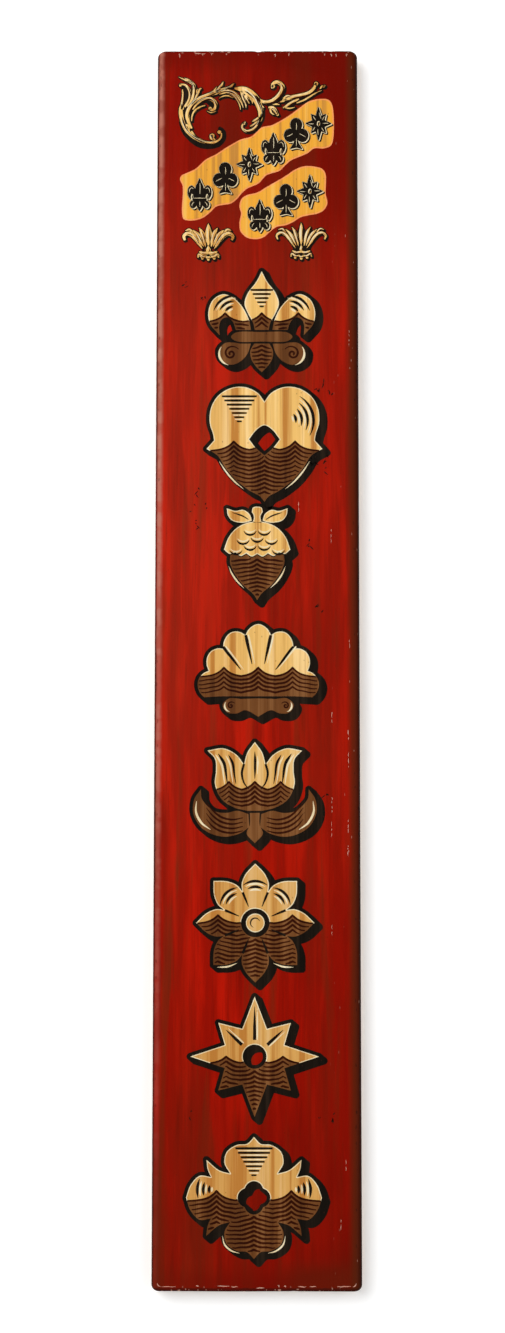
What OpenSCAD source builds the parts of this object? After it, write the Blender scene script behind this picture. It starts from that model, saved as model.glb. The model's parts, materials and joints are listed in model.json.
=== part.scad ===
// Wall sign: an upright painted plank with eased edges, hung by two D-ring hangers
// screwed to its back and held parallel to the wall by four rubber bumpers.
//
// Frame: +Z is up and the painted face looks along -Y. The wall is the plane Y = 0.
// The origin lies on the wall, midway between the two hangers and level with the
// points where the wall hooks carry the rings.

/* [Plank] */
// Width of the plank, a dressed one-by-eight
plank_w = 184; // [160:1:230]
// Height of the plank
plank_l = 1120; // [800:10:1400]
// Thickness of the plank
plank_t = 19; // [18:0.5:25]
// Radius worn onto the two long front edges
side_round = 6; // [4:0.5:12]
// Radius on the front edges of the two ends
end_round = 3; // [1:0.5:6]
// Radius of the four corners, seen from the front
corner_r = 6; // [4:0.5:12]
// Radius on every edge of the back
back_round = 1.5; // [0.5:0.25:3]

/* [Hanger places] */
// Distance between the centre lines of the two hangers
hanger_spacing = 112; // [70:1:116]
// Drop from the top edge of the plank to the line of the wall hooks
hang_drop = 52; // [40:1:150]

/* [Hanger strap] */
// Width of the strap
strap_w = 12; // [10:0.5:13]
// Thickness of the steel strip before it is folded
strap_t = 0.9; // [0.7:0.05:1.1]
// Gap left between the two folded leaves
leaf_gap = 0.1; // [0.05:0.05:0.2]
// Length of the pinched neck between the loop and the flat leaves
neck_l = 3; // [2.5:0.25:4]
// Distance from the loop's axis to the screw beside it
near_screw = 8; // [7.5:0.25:8.5]
// Distance between the two screws of one strap
screw_pitch = 12.5; // [12:0.5:16]

/* [Ring] */
// Diameter of the ring's wire
wire_d = 2.6; // [2.2:0.1:2.8]
// Clear width inside the ring
eye_w = 16; // [15:0.5:18]
// Clear height inside the ring, from its straight bar to its bow
eye_l = 12; // [11.5:0.5:12.5]
// Radius of the two bends beside the straight bar, on the wire's centre line
bend_r = 2.6; // [2.2:0.1:2.8]
// Radial clearance of the wire in the loop of the strap
wire_clearance = 0.15; // [0.05:0.05:0.25]
// Gap between the ring and whatever it leans on at either end of its swing
lean_gap = 0.2; // [0.1:0.05:0.3]

/* [Screws] */
// Diameter of the screw's shank
screw_d = 3.5; // [3:0.1:3.8]
// Length of the screw under its head
screw_l = 15; // [12:0.5:16]
// Length of the screw's pointed tip
screw_tip = 4; // [3:0.5:5]
// Diameter of the screw's head
head_d = 6.6; // [6:0.1:7]
// Height of the screw's domed head
head_h = 2.1; // [1.8:0.1:2.3]
// Width of the driving slot
slot_w = 0.9; // [0.7:0.1:1.2]
// Depth of the driving slot
slot_depth = 1; // [0.8:0.1:1.2]
// Radial clearance round the shank in the plank
pilot_clearance = 0.05; // [0.02:0.01:0.1]
// Radial clearance round the shank in the strap
strap_hole_clearance = 0.25; // [0.15:0.05:0.35]
// Depth left free beyond the screw's point
pilot_relief = 0.5; // [0.3:0.1:1]

/* [Bumpers] */
// Thickness of a bumper, which is also the gap between plank and wall
bumper_t = 5; // [5:0.25:8]
// Diameter of a bumper where it sticks to the plank
bumper_d = 13; // [10:0.5:18]
// Diameter of the flat that touches the wall
bumper_face_d = 9; // [6:0.5:9.5]
// Radius between the bumper's side and its flat
bumper_round = 1; // [0.5:0.25:1.5]
// Distance from a side of the plank to the centre of a bumper
bumper_side_inset = 18; // [14:1:24]
// Distance from an end of the plank to the centre of a bumper
bumper_end_inset = 22; // [15:1:30]

/* [Hidden] */
$fn = 64;

paint_red = [0.60, 0.09, 0.05];
zinc_grey = [0.70, 0.71, 0.72];
wire_grey = [0.62, 0.63, 0.65];
brass_yellow = [0.72, 0.56, 0.28];
rubber_brown = [0.13, 0.10, 0.08];

overlap = 0.01;         // lets a cut run past the face that it opens
sides = [-1, 1];        // left and right, seen from the front

plank_back = -bumper_t;
plank_front = plank_back - plank_t;
plank_top = hang_drop;
plank_bottom = plank_top - plank_l;

wire_r = wire_d / 2;
loop_in = wire_r + wire_clearance;
loop_out = loop_in + strap_t;
leaves_t = 2 * strap_t + leaf_gap;
far_screw = near_screw + screw_pitch;
strap_end_r = strap_w / 2;
strap_l = far_screw + strap_end_r;

// The ring leans back on the plank when it is up, and forward on the strap when it is down.
bow_r = (eye_w + wire_d) / 2;
bow_top = eye_l + wire_d;
bow_centre = bow_top - bow_r;
lean_up = asin((loop_out - wire_r - lean_gap) / bow_top);
lean_down = asin((leaves_t + wire_r + lean_gap - loop_out) / bow_top);
swing = 180 + lean_up - lean_down;

hinge_y = plank_back + loop_out;
hinge_z = -(eye_l + wire_r) * cos(lean_up);

pilot_r = screw_d / 2 + pilot_clearance;
screw_reach = screw_l - leaves_t;       // how far a screw goes into the plank
slot_reach = head_d;                    // the cutter is longer than the slot

echo(hinge_y = hinge_y, hinge_z = hinge_z, swing = swing, lean_up = lean_up);

function hanger_x(side) = side * hanger_spacing / 2;
function bumper_x(side) = side * (plank_w / 2 - bumper_side_inset);

// Square corner with the quarter circle of radius r taken out of it, at the origin
module corner_waste(r) {
    difference() {
        translate([-overlap, -overlap]) square(r + overlap);
        translate([r, r]) circle(r);
    }
}

// Rectangle that rises from Y = 0, with one radius on its two low corners and another on its high ones
module eased_rectangle(width, height, low_r, high_r) {
    difference() {
        translate([-width / 2, 0]) square([width, height]);
        for (s = sides) scale([s, 1]) {
            translate([-width / 2, 0]) corner_waste(low_r);
            translate([-width / 2, height]) mirror([0, 1]) corner_waste(high_r);
        }
    }
}

// Puts its child, drawn in X and Y, at the front of the plank and runs it up the plank's height
module along_height() {
    translate([0, plank_front, plank_bottom]) linear_extrude(plank_l) children();
}

// The same, run across the plank's width from a profile with its long side upright
module along_width() {
    middle = (plank_top + plank_bottom) / 2;
    translate([-plank_w / 2, plank_front, middle])
        rotate([0, 90, 0]) rotate([0, 0, 180]) mirror([0, 1, 0])
            linear_extrude(plank_w) children();
}

// The same, run through the plank's thickness from an outline seen from the front
module along_thickness() {
    translate([0, plank_back, plank_bottom]) rotate([90, 0, 0]) linear_extrude(plank_t) children();
}

module pilot_hole(depth) {
    straight = depth - screw_tip;
    translate([0, 0, -overlap]) cylinder(h = straight + overlap, r = pilot_r);
    translate([0, 0, straight]) cylinder(h = screw_tip, r1 = pilot_r, r2 = pilot_clearance);
}

// Turns a child that points along +Z so that it goes from the plank's back face into the wood
module into_plank(x, z) {
    translate([x, plank_back, z]) rotate([90, 0, 0]) children();
}

module plank() {
    color(paint_red) difference() {
        intersection() {
            along_height() eased_rectangle(plank_w, plank_t, side_round, back_round);
            along_width() eased_rectangle(plank_l, plank_t, end_round, back_round);
            along_thickness() eased_rectangle(plank_w, plank_l, corner_r, corner_r);
        }
        for (s = sides, d = [near_screw, far_screw])
            into_plank(hanger_x(s), hinge_z - d) pilot_hole(screw_reach + pilot_relief);
    }
}

// The folded strip seen from its edge: X is the height off the plank and Y runs up along it.
// The back leaf lies on the plank, goes round the wire and comes back as the front leaf.
module strap_edge() {
    pinch = strap_t + leaf_gap / 2;
    difference() {
        union() {
            translate([loop_out, 0]) circle(loop_out);
            polygon([
                [0, 0],
                [0, -strap_l],
                [leaves_t, -strap_l],
                [leaves_t, -loop_in - neck_l],
                [2 * loop_out, 0]
            ]);
        }
        translate([loop_out, 0]) circle(loop_in);
        polygon([
            [strap_t, 0],
            [strap_t, -strap_l - overlap],
            [strap_t + leaf_gap, -strap_l - overlap],
            [strap_t + leaf_gap, -loop_in - neck_l],
            [loop_out + loop_in, 0]
        ]);
    }
}

// The strap seen from the wall, with its rounded end
module strap_face() {
    translate([-strap_w / 2, -far_screw]) square([strap_w, far_screw + loop_out]);
    translate([0, -far_screw]) circle(strap_end_r);
}

module strap(side) {
    hole_r = screw_d / 2 + strap_hole_clearance;
    color(zinc_grey) translate([hanger_x(side), plank_back, hinge_z]) difference() {
        intersection() {
            translate([-strap_w / 2, 0, 0]) rotate([90, 0, 90]) linear_extrude(strap_w) strap_edge();
            translate([0, 2 * loop_out, 0]) rotate([90, 0, 0]) linear_extrude(2 * loop_out) strap_face();
        }
        for (d = [near_screw, far_screw])
            translate([0, leaves_t + overlap, -d]) rotate([90, 0, 0])
                cylinder(h = leaves_t + 2 * overlap, r = hole_r);
    }
}

// Bent stretch of wire in the plane of X and Y, about the origin
module wire_bend(r, from, to) {
    rotate([0, 0, from]) rotate_extrude(angle = to - from) translate([r, 0]) circle(wire_r);
}

// D-ring with its straight bar on the X axis and its bow towards +Y
module d_ring() {
    half = bow_r - bend_r;
    leg_l = bow_centre - bend_r;
    translate([-half, 0, 0]) rotate([0, 90, 0]) cylinder(h = 2 * half, r = wire_r);
    translate([0, bow_centre, 0]) wire_bend(bow_r, 0, 180);
    for (s = sides) {
        translate([s * half, bend_r, 0]) wire_bend(bend_r, s < 0 ? 180 : 270, s < 0 ? 270 : 360);
        translate([s * bow_r, bend_r, 0]) rotate([-90, 0, 0]) cylinder(h = leg_l, r = wire_r);
    }
}

module ring(side) {
    color(wire_grey) translate([hanger_x(side), hinge_y, hinge_z])
        rotate([90 + lean_up, 0, 0]) d_ring();
}

// Slotted round-head wood screw, its head on Z = 0 and its point towards +Z
module screw_body() {
    dome_r = (pow(head_d / 2, 2) + pow(head_h, 2)) / (2 * head_h);
    straight = screw_l - screw_tip;
    difference() {
        intersection() {
            translate([0, 0, dome_r - head_h]) sphere(dome_r);
            translate([0, 0, -head_h]) cylinder(h = head_h, d = head_d);
        }
        translate([-slot_reach, -slot_w / 2, -head_h - overlap])
            cube([2 * slot_reach, slot_w, slot_depth + overlap]);
    }
    cylinder(h = straight, d = screw_d);
    translate([0, 0, straight]) cylinder(h = screw_tip, d1 = screw_d, d2 = 0);
}

module screw(side, drop, turn) {
    color(brass_yellow) into_plank(hanger_x(side), hinge_z - drop)
        translate([0, 0, -leaves_t]) rotate([0, 0, turn]) screw_body();
}

// Half of a bumper's section: X is its radius and Y its height off the plank
module bumper_section() {
    face_r = bumper_face_d / 2;
    side_r = face_r + bumper_round;
    side_h = bumper_t - bumper_round;
    difference() {
        polygon([[0, 0], [bumper_d / 2, 0], [side_r, side_h], [side_r, bumper_t], [0, bumper_t]]);
        translate([face_r, side_h]) difference() {
            square(bumper_d);
            circle(bumper_round);
        }
    }
}

module bumper(side, height) {
    color(rubber_brown) translate([bumper_x(side), plank_back, height])
        rotate([-90, 0, 0]) rotate_extrude() bumper_section();
}

top_bumper_z = plank_top - bumper_end_inset;
bottom_bumper_z = plank_bottom + bumper_end_inset;

plank();
strap(-1);  // left_strap
strap(1);  // right_strap
ring(-1);  // left_ring
ring(1);  // right_ring
screw(-1, near_screw, 20);  // left_upper_screw
screw(-1, far_screw, 75);  // left_lower_screw
screw(1, near_screw, -35);  // right_upper_screw
screw(1, far_screw, 8);  // right_lower_screw
bumper(-1, top_bumper_z);  // top_left_bumper
bumper(1, top_bumper_z);  // top_right_bumper
bumper(-1, bottom_bumper_z);  // bottom_left_bumper
bumper(1, bottom_bumper_z);  // bottom_right_bumper
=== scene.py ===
import json
import math
import random

import bpy
import numpy as np
from mathutils import Matrix, Vector, noise
from mathutils.geometry import delaunay_2d_cdt


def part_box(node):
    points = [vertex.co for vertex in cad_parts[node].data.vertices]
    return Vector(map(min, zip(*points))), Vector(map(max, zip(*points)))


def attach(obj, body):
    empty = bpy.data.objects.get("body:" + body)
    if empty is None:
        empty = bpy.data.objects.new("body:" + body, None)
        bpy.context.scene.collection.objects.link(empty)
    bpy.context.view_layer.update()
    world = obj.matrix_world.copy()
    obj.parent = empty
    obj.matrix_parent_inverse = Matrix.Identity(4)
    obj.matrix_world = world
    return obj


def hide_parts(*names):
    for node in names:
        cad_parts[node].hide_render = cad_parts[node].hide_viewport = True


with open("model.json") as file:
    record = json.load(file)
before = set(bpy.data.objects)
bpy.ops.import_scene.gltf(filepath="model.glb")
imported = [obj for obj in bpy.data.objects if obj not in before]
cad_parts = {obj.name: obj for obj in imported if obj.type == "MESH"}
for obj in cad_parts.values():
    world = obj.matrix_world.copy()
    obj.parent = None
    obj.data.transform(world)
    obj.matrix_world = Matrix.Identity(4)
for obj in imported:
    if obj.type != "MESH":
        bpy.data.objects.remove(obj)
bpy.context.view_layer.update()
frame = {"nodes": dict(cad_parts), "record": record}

# A painted wall sign. Drawings are in millimetres on the plank's face, x to the right and y up,
# with the hang line at y = 0, as in the frame. Blender's own lengths are in metres.
millimetre = 0.001
plankLow, plankHigh = (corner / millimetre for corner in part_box("plank"))
halfWidth = plankHigh.x
topEdge = plankHigh.z
bottomEdge = plankLow.z
plankDepth = plankHigh.y - plankLow.y

# How far each coat stands under the CAD model's front plane, so that the paint stays in its box
coats = {"ground": 0.50, "black": 0.40, "rim": 0.32, "colour": 0.24, "rib": 0.20, "line": 0.16,
         "light": 0.10, "mark": 0.05}


def log(text):
    print("scene:", text)


# Shader helpers

def linearColour(screen):
    # screen values from 0 to 255 as a linear colour
    shares = [value / 255 for value in screen]
    return (*(s / 12.92 if s <= 0.04045 else ((s + 0.055) / 1.055) ** 2.4 for s in shares), 1.0)


def linearLook(look):
    # a look whose colours are linear; they are written as three screen values
    return {name: linearColour(value) if isinstance(value, tuple) else value
            for name, value in look.items()}


class ShaderNodes:
    # A node tree, and short names for the nodes that go into it. Fields are values that change over the
    # surface, kept by name: a place, a distance or a mask. A zone is a list of factors, which are
    # multiplied: a field's name, a plain strength, or a ramp as (field's name, from, to), with the values
    # at its two ends where they aren't 0 and 1.

    def __init__(self, tree):
        self.tree = tree

    def plug(self, value, socket):
        if isinstance(value, bpy.types.NodeSocket):
            self.tree.links.new(value, socket)
        else:
            socket.default_value = value

    def add(self, kind, sockets=None, **settings):
        node = self.tree.nodes.new("ShaderNode" + kind)
        for name, value in settings.items():
            setattr(node, name, value)
        for name, value in (sockets or {}).items():
            self.plug(value, node.inputs[name])
        return node

    def calc(self, operation, first, second=0.0, clamp=False):
        return self.add("Math", {0: first, 1: second}, operation=operation, use_clamp=clamp).outputs[0]

    def chain(self, operation, first, *others, clamp=False):
        # the values joined one after another, and only the last result clamped
        for k, other in enumerate(others, 1):
            first = self.calc(operation, first, other, clamp and k == len(others))
        return first

    def plus(self, *values, clamp=False):
        return self.chain("ADD", *values, clamp=clamp)

    def times(self, *values):
        return self.chain("MULTIPLY", *values)

    def larger(self, *values):
        return self.chain("MAXIMUM", *values)

    def smaller(self, *values):
        return self.chain("MINIMUM", *values)

    def swing(self, value, strength):
        # a noise from 0 to 1 as a swing to both sides of zero
        return self.times(self.calc("SUBTRACT", value, 0.5), strength)

    def ramp(self, value, low, high, toLow=0.0, toHigh=1.0):
        sockets = {"Value": value, "From Min": low, "From Max": high, "To Min": toLow, "To Max": toHigh}
        return self.add("MapRange", sockets, interpolation_type="SMOOTHSTEP").outputs[0]

    def mix(self, factor, first, second):
        return self.add("Mix", {0: factor, 6: first, 7: second}, data_type="RGBA").outputs[2]

    def onVector(self, operation, first, second):
        return self.add("VectorMath", {0: first, 1: second}, operation=operation).outputs[0]

    def split(self, vector):
        return self.add("SeparateXYZ", {0: vector}).outputs

    def cloud(self, vector, scale=1.0, detail=2.0, roughness=0.5, warp=0.0):
        sockets = {"Vector": vector, "Scale": scale, "Detail": detail, "Roughness": roughness,
                   "Distortion": warp}
        return self.add("TexNoise", sockets).outputs[0]

    def stretched(self, vector, across, along, seed):
        # a place scaled across and along the plank, and shifted by a seed
        scale = self.add("CombineXYZ", {0: across, 1: across, 2: along}).outputs[0]
        shift = self.add("CombineXYZ", {0: seed, 1: seed, 2: seed}).outputs[0]
        return self.onVector("ADD", self.onVector("MULTIPLY", vector, scale), shift)

    def group(self, group, vector, **values):
        return self.add("Group", {"vector": vector, **values}, node_tree=group).outputs

    def masks(self, group, vector, settings):
        # one copy of a group for each entry of the settings, by name
        return {name: self.group(group, vector, **values)["mask"] for name, values in settings.items()}

    def zone(self, fields, factors):
        values = [self.ramp(fields[factor[0]], *factor[1:]) if isinstance(factor, tuple)
                  else fields.get(factor, factor) for factor in factors]
        return self.times(*values)

    def total(self, fields, zones, clamp=False):
        return self.plus(*(self.zone(fields, zone) for zone in zones), clamp=clamp)

    def strongest(self, fields, zones):
        return self.larger(*(self.zone(fields, zone) for zone in zones))

    def layered(self, colour, fields, layers, look):
        # tints laid over a colour in turn, each as strong as the strongest of its zones
        for tint, *zones in layers:
            colour = self.mix(self.strongest(fields, zones), colour, look[tint])
        return colour


def newGroup(name, inputs, outputs):
    # inputs by name: the one without a value is a vector
    tree = bpy.data.node_groups.new(name, "ShaderNodeTree")
    for label, value in inputs.items():
        kind = "NodeSocketVector" if value is None else "NodeSocketFloat"
        socket = tree.interface.new_socket(label, in_out="INPUT", socket_type=kind)
        if value is not None:
            socket.default_value = value
    for label in outputs:
        tree.interface.new_socket(label, in_out="OUTPUT", socket_type="NodeSocketFloat")
    start = tree.nodes.new("NodeGroupInput")
    end = tree.nodes.new("NodeGroupOutput")
    return ShaderNodes(tree), start.outputs, end.inputs


def makeStreaks():
    # long soft streaks that run up the plank, as brush marks and wood grain do
    inputs = {"vector": None, "across": 100.0, "along": 4.0, "seed": 0.0, "contrast": 1.0, "warp": 0.0}
    nodes, given, out = newGroup("streaks", inputs, ["mask"])
    place = nodes.stretched(given["vector"], given["across"], given["along"], given["seed"])
    field = nodes.cloud(place, detail=3.0, roughness=0.55, warp=given["warp"])
    nodes.plug(nodes.plus(nodes.swing(field, given["contrast"]), 0.5, clamp=True), out["mask"])
    return nodes.tree


timberLook = {
    "archScale": (5.0, 5.0, 1.7), "arch": 0.10,        # how far the grain leans aside, in metres
    "heart": 0.06,        # how far in front of the wall the heart of the tree lies, in metres
    "lateWood": 2.2, "ringEdges": (0.05, 0.95), "fibreScale": (1500.0, 1500.0, 24.0),
}


def makeTimber():
    # growth rings of a flat-sawn board, which arch where the grain rises, and the fibre between them
    look = timberLook
    inputs = {"vector": None, "pitch": 0.006, "wander": 0.02}
    nodes, given, out = newGroup("timber", inputs, ["rings", "fibre"])
    bend = nodes.cloud(nodes.onVector("MULTIPLY", given["vector"], look["archScale"]), roughness=0.45)
    parts = nodes.split(given["vector"])
    side = nodes.plus(parts[0], nodes.swing(bend, look["arch"]))
    deep = nodes.plus(parts[1], look["heart"])
    radius = nodes.calc("SQRT", nodes.plus(nodes.times(side, side), nodes.times(deep, deep)))
    phase = nodes.calc("DIVIDE", nodes.plus(radius, nodes.times(bend, given["wander"])), given["pitch"])
    late = nodes.calc("POWER", nodes.calc("FRACT", phase), look["lateWood"])
    nodes.plug(nodes.ramp(late, *look["ringEdges"]), out["rings"])
    fine = nodes.onVector("MULTIPLY", given["vector"], look["fibreScale"])
    nodes.plug(nodes.cloud(fine, roughness=0.6), out["fibre"])
    return nodes.tree


# A speck ends between these two distances from the middle of its cell, and a noise makes it ragged
speckLook = {"inner": 0.34, "outer": 0.42, "noiseScale": 3.1, "ragged": 0.35}


def makeSpecks():
    # small specks, drawn out along the plank: their share grows with amount
    look = speckLook
    inputs = {"vector": None, "size": 0.004, "stretch": 3.0, "amount": 0.1, "seed": 0.0}
    nodes, given, out = newGroup("specks", inputs, ["mask"])
    across = nodes.calc("DIVIDE", 1.0, given["size"])
    along = nodes.calc("DIVIDE", across, given["stretch"])
    place = nodes.stretched(given["vector"], across, along, given["seed"])
    cells = nodes.add("TexVoronoi", {"Vector": place, "Scale": 1.0, "Randomness": 1.0}).outputs
    rough = nodes.times(nodes.cloud(place, look["noiseScale"]), look["ragged"])
    spot = nodes.ramp(nodes.plus(cells["Distance"], rough), look["inner"], look["outer"], 1.0, 0.0)
    chosen = nodes.add("SeparateColor", {0: cells["Color"]}).outputs[0]
    nodes.plug(nodes.times(spot, nodes.calc("LESS_THAN", chosen, given["amount"])), out["mask"])
    return nodes.tree


borderScale = (260.0, 260.0, 90.0)


def makeBorder():
    # distances from the plank's long sides and from its ends, in metres, each frayed by noise
    edges = ["left", "right", "top", "bottom"]
    nodes, given, out = newGroup("border", {"vector": None, "fray": 0.001}, edges)
    field = nodes.cloud(nodes.onVector("MULTIPLY", given["vector"], borderScale), detail=3.0, roughness=0.6)
    fray = nodes.swing(field, given["fray"])
    parts = nodes.split(given["vector"])
    half, top, bottom = (edge * millimetre for edge in (halfWidth, topEdge, bottomEdge))
    gaps = (nodes.plus(parts[0], half), nodes.calc("SUBTRACT", half, parts[0]),
            nodes.calc("SUBTRACT", top, parts[2]), nodes.calc("SUBTRACT", parts[2], bottom))
    for label, gap in zip(edges, gaps):
        nodes.plug(nodes.plus(gap, fray), out[label])
    return nodes.tree


streaks = makeStreaks()
timber = makeTimber()
specks = makeSpecks()
border = makeBorder()
log("shader groups made")


# Materials

def newMaterial(name, constants):
    # a material, its nodes, and its Principled node's sockets, on which the constant values are set
    material = bpy.data.materials.new(name)
    material.use_nodes = True
    shader = material.node_tree.nodes["Principled BSDF"].inputs
    for label, value in constants.items():
        shader[label].default_value = value
    return material, ShaderNodes(material.node_tree), shader


def finishSurface(nodes, shader, fields, colour, roughness, relief):
    # every finish ends in a colour, a roughness and a relief; the last two are totals of zones
    nodes.plug(colour, shader["Base Color"])
    nodes.plug(nodes.total(fields, roughness, clamp=True), shader["Roughness"])
    sockets = {"Strength": relief["strength"], "Distance": relief["depth"],
               "Height": nodes.total(fields, relief["height"])}
    nodes.plug(nodes.add("Bump", sockets).outputs[0], shader["Normal"])


grain = {"pitch": 0.006, "wander": 0.03}


def boardFields(nodes, streakMasks, speckMasks):
    # what the paint on the board depends on: its place, the grain under it, its own streaks and specks
    where = nodes.add("TexCoord").outputs["Object"]
    x, y, z = nodes.split(where)
    wood = nodes.group(timber, where, **grain)
    return where, {"x": x, "y": y, "z": z, "rings": wood["rings"], "fibre": wood["fibre"],
                   **nodes.masks(streaks, where, streakMasks), **nodes.masks(specks, where, speckMasks)}


# Of these colours, the pale orange-red is a painted sheen, the pale pink of the left arris is partly a
# painted highlight, and the oxblood, brown and near-black are partly painted shade at the edges and down the
# right side
groundLook = {
    "crimson": (152, 15, 2), "scarlet": (186, 22, 4), "oxblood": (112, 12, 2), "faded": (215, 88, 54),
    "varnish": (86, 32, 12), "umber": (112, 38, 14), "rubbed": (190, 118, 100), "soot": (38, 16, 10),
    "chip": (222, 172, 150), "pine": (206, 168, 118), "lateWood": (158, 108, 64), "stain": (130, 104, 78),
    "shine": 0.02, "fray": 0.0016, "cloudScale": 9.0, "raggedPaint": 0.004,
}
groundStreaks = {
    "broad": {"across": 72.0, "along": 5.5, "seed": 3.0, "contrast": 2.3, "warp": 0.25},
    "mottle": {"across": 165.0, "along": 10.0, "seed": 11.0, "contrast": 1.9, "warp": 0.3},
    "brush": {"across": 520.0, "along": 15.0, "seed": 23.0, "contrast": 2.0, "warp": 0.1},
    "fine": {"across": 1500.0, "along": 60.0, "seed": 31.0, "contrast": 1.6},
    "glaze": {"across": 80.0, "along": 4.5, "seed": 41.0, "contrast": 2.6, "warp": 0.3},
    "shade": {"across": 26.0, "along": 3.2, "seed": 61.0, "contrast": 2.8, "warp": 0.4},
    "patchy": {"across": 60.0, "along": 80.0, "seed": 51.0, "contrast": 3.0},
}
groundSpecks = {
    "dust": {"size": 0.0016, "stretch": 1.8, "amount": 0.05, "seed": 14.0},
    "dents": {"size": 0.0036, "stretch": 2.2, "amount": 0.4, "seed": 71.0},
    "knocks": {"size": 0.0058, "stretch": 0.7, "amount": 0.5, "seed": 5.0},
    "small": {"size": 0.0026, "stretch": 1.4, "amount": 0.4, "seed": 15.0},
    "flecks": {"size": 0.0012, "stretch": 5.0, "amount": 0.02, "seed": 9.0},
}
# More fields, each the strongest of some zones: dark at both ends, chipped along them, and bare behind
# the ragged line where the paint on the sides stops
groundFields = {
    "dark": [[("z", -0.25, 0.0)], [("z", -0.80, -1.07), ("x", -0.09, -0.02, 0.2, 1.0)]],
    "chipped": [["knocks", ("ends", 0.0034, 0.0010)], ["small", ("ends", 0.0060, 0.0014, 0.0, 0.7)]],
    "bare": [[("frayed", -0.0066, -0.0058)]],
}
# How much darker the ground is: most near the ends, and down the right side as painted shade away from the
# lamp on the left
groundTone = [["dark", 0.62], [("ends", 0.028, 0.004, 0.0, 0.3)], [("x", -0.03, 0.085), 0.30],
              [("cloud", 0.35, 0.75, -0.08, 0.2)]]
groundLayers = [
    # short soft strokes of the brush
    ("scarlet", [("broad", 0.30, 0.85)]),
    ("oxblood", [("mottle", 0.50, 1.0, 0.0, 0.6)]),
    ("scarlet", [("mottle", 0.35, 0.05, 0.0, 0.6)]),
    ("oxblood", [("brush", 0.55, 1.0, 0.0, 0.3)]),
    ("scarlet", [("brush", 0.4, 0.05, 0.0, 0.3)]),
    ("umber", [("glaze", 0.55, 1.0, 0.0, 0.6)]),
    # darkening towards the ends and painted shade down the right side, and a painted sheen: paler above the
    # middle, most on the left, where the lamp falls
    ("oxblood", ["tone_and_shade"]),
    ("varnish", [("shade", 0.4, 1.0), ("tone_and_shade", 0.0, 0.6, 0.18, 0.34)]),
    ("faded", [("z", -0.85, -0.42), ("z", -0.02, -0.22), ("x", 0.02, -0.08, 0.03, 0.095)]),
    ("varnish", ["dust", 0.45]),
    # the left arris pale, partly rubbed paint and partly a painted highlight; a brown painted shade down the
    # right arris; brown low on the left and along the foot
    ("rubbed", [("left", 0.0012, 0.0020), ("left", 0.0080, 0.0034), ("patchy", 0.15, 0.75, 0.5, 0.92),
                ("z", -0.30, -1.0, 1.0, 0.12)]),
    ("varnish", [("right", 0.0135, 0.0056, 0.0, 0.88)]),
    ("varnish", [("left", 0.017, 0.006), ("z", -0.89, -1.03, 0.0, 0.6)],
     [("x", 0.005, 0.045), ("z", -1.034, -1.058, 0.0, 0.4)]),
    # painted shade along every edge, where the rounded arrises turn from the light, and dirt in the dents
    # near both sides
    ("soot", [("right", 0.0066, 0.0010, 0.0, 0.5)]),
    ("soot", [("sides", 0.0026, 0.0006, 0.0, 0.75)]),
    ("soot", [("ends", 0.0014, 0.0004, 0.0, 0.85)]),
    ("soot", [("bottom", 0.0038, 0.0026, 0.0, 0.6)], [("top", 0.0024, 0.0012, 0.0, 0.6)],
     ["dents", ("right", 0.0066, 0.0036, 0.0, 0.85)], ["dents", ("left", 0.0058, 0.0030, 0.0, 0.4)]),
    # chips along the ends and flecks on the right
    ("chip", ["chipped", 0.8]),
    ("chip", ["flecks", ("x", 0.060, 0.088, 0.0, 0.4)]),
]
pineLayers = [("lateWood", ["rings", 0.65]), ("lateWood", [("fibre", 0.45, 0.8, 0.0, 0.3)]),
              ("stain", [("cloud", 0.5, 0.8, 0.0, 0.3)])]
groundRoughness = [[("brush", 0.2, 0.9, 0.27, 0.36)], ["bare", 0.3]]
groundRelief = {"strength": 0.22, "depth": 0.0004,
                "height": [["rings", 0.35], ["brush", 0.5], ["fine", 0.35], ["fibre", 0.3]]}


def makeGround():
    # crimson, darker towards its ends, with painted shade down the right side and along its edges, a painted
    # sheen and highlight on the left, rubbed at its edges, and bare pine behind
    look = linearLook(groundLook)
    material, nodes, shader = newMaterial("crimson_ground", {"Specular IOR Level": look["shine"]})
    where, fields = boardFields(nodes, groundStreaks, groundSpecks)
    edge = nodes.group(border, where, fray=look["fray"])
    fields.update({side: edge[side] for side in ("left", "right", "top", "bottom")})
    fields["ends"] = nodes.smaller(edge["top"], edge["bottom"])
    fields["sides"] = nodes.smaller(edge["left"], edge["right"])
    fields["cloud"] = nodes.cloud(where, look["cloudScale"], detail=3.0)
    fields["frayed"] = nodes.plus(fields["y"], nodes.swing(fields["cloud"], look["raggedPaint"]))
    for name, zones in groundFields.items():
        fields[name] = nodes.strongest(fields, zones)
    fields["tone_and_shade"] = nodes.total(fields, groundTone, clamp=True)
    paint = nodes.layered(look["crimson"], fields, groundLayers, look)
    pine = nodes.layered(look["pine"], fields, pineLayers, look)
    colour = nodes.mix(fields["bare"], paint, pine)
    finishSurface(nodes, shader, fields, colour, groundRoughness, groundRelief)
    return material


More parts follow.
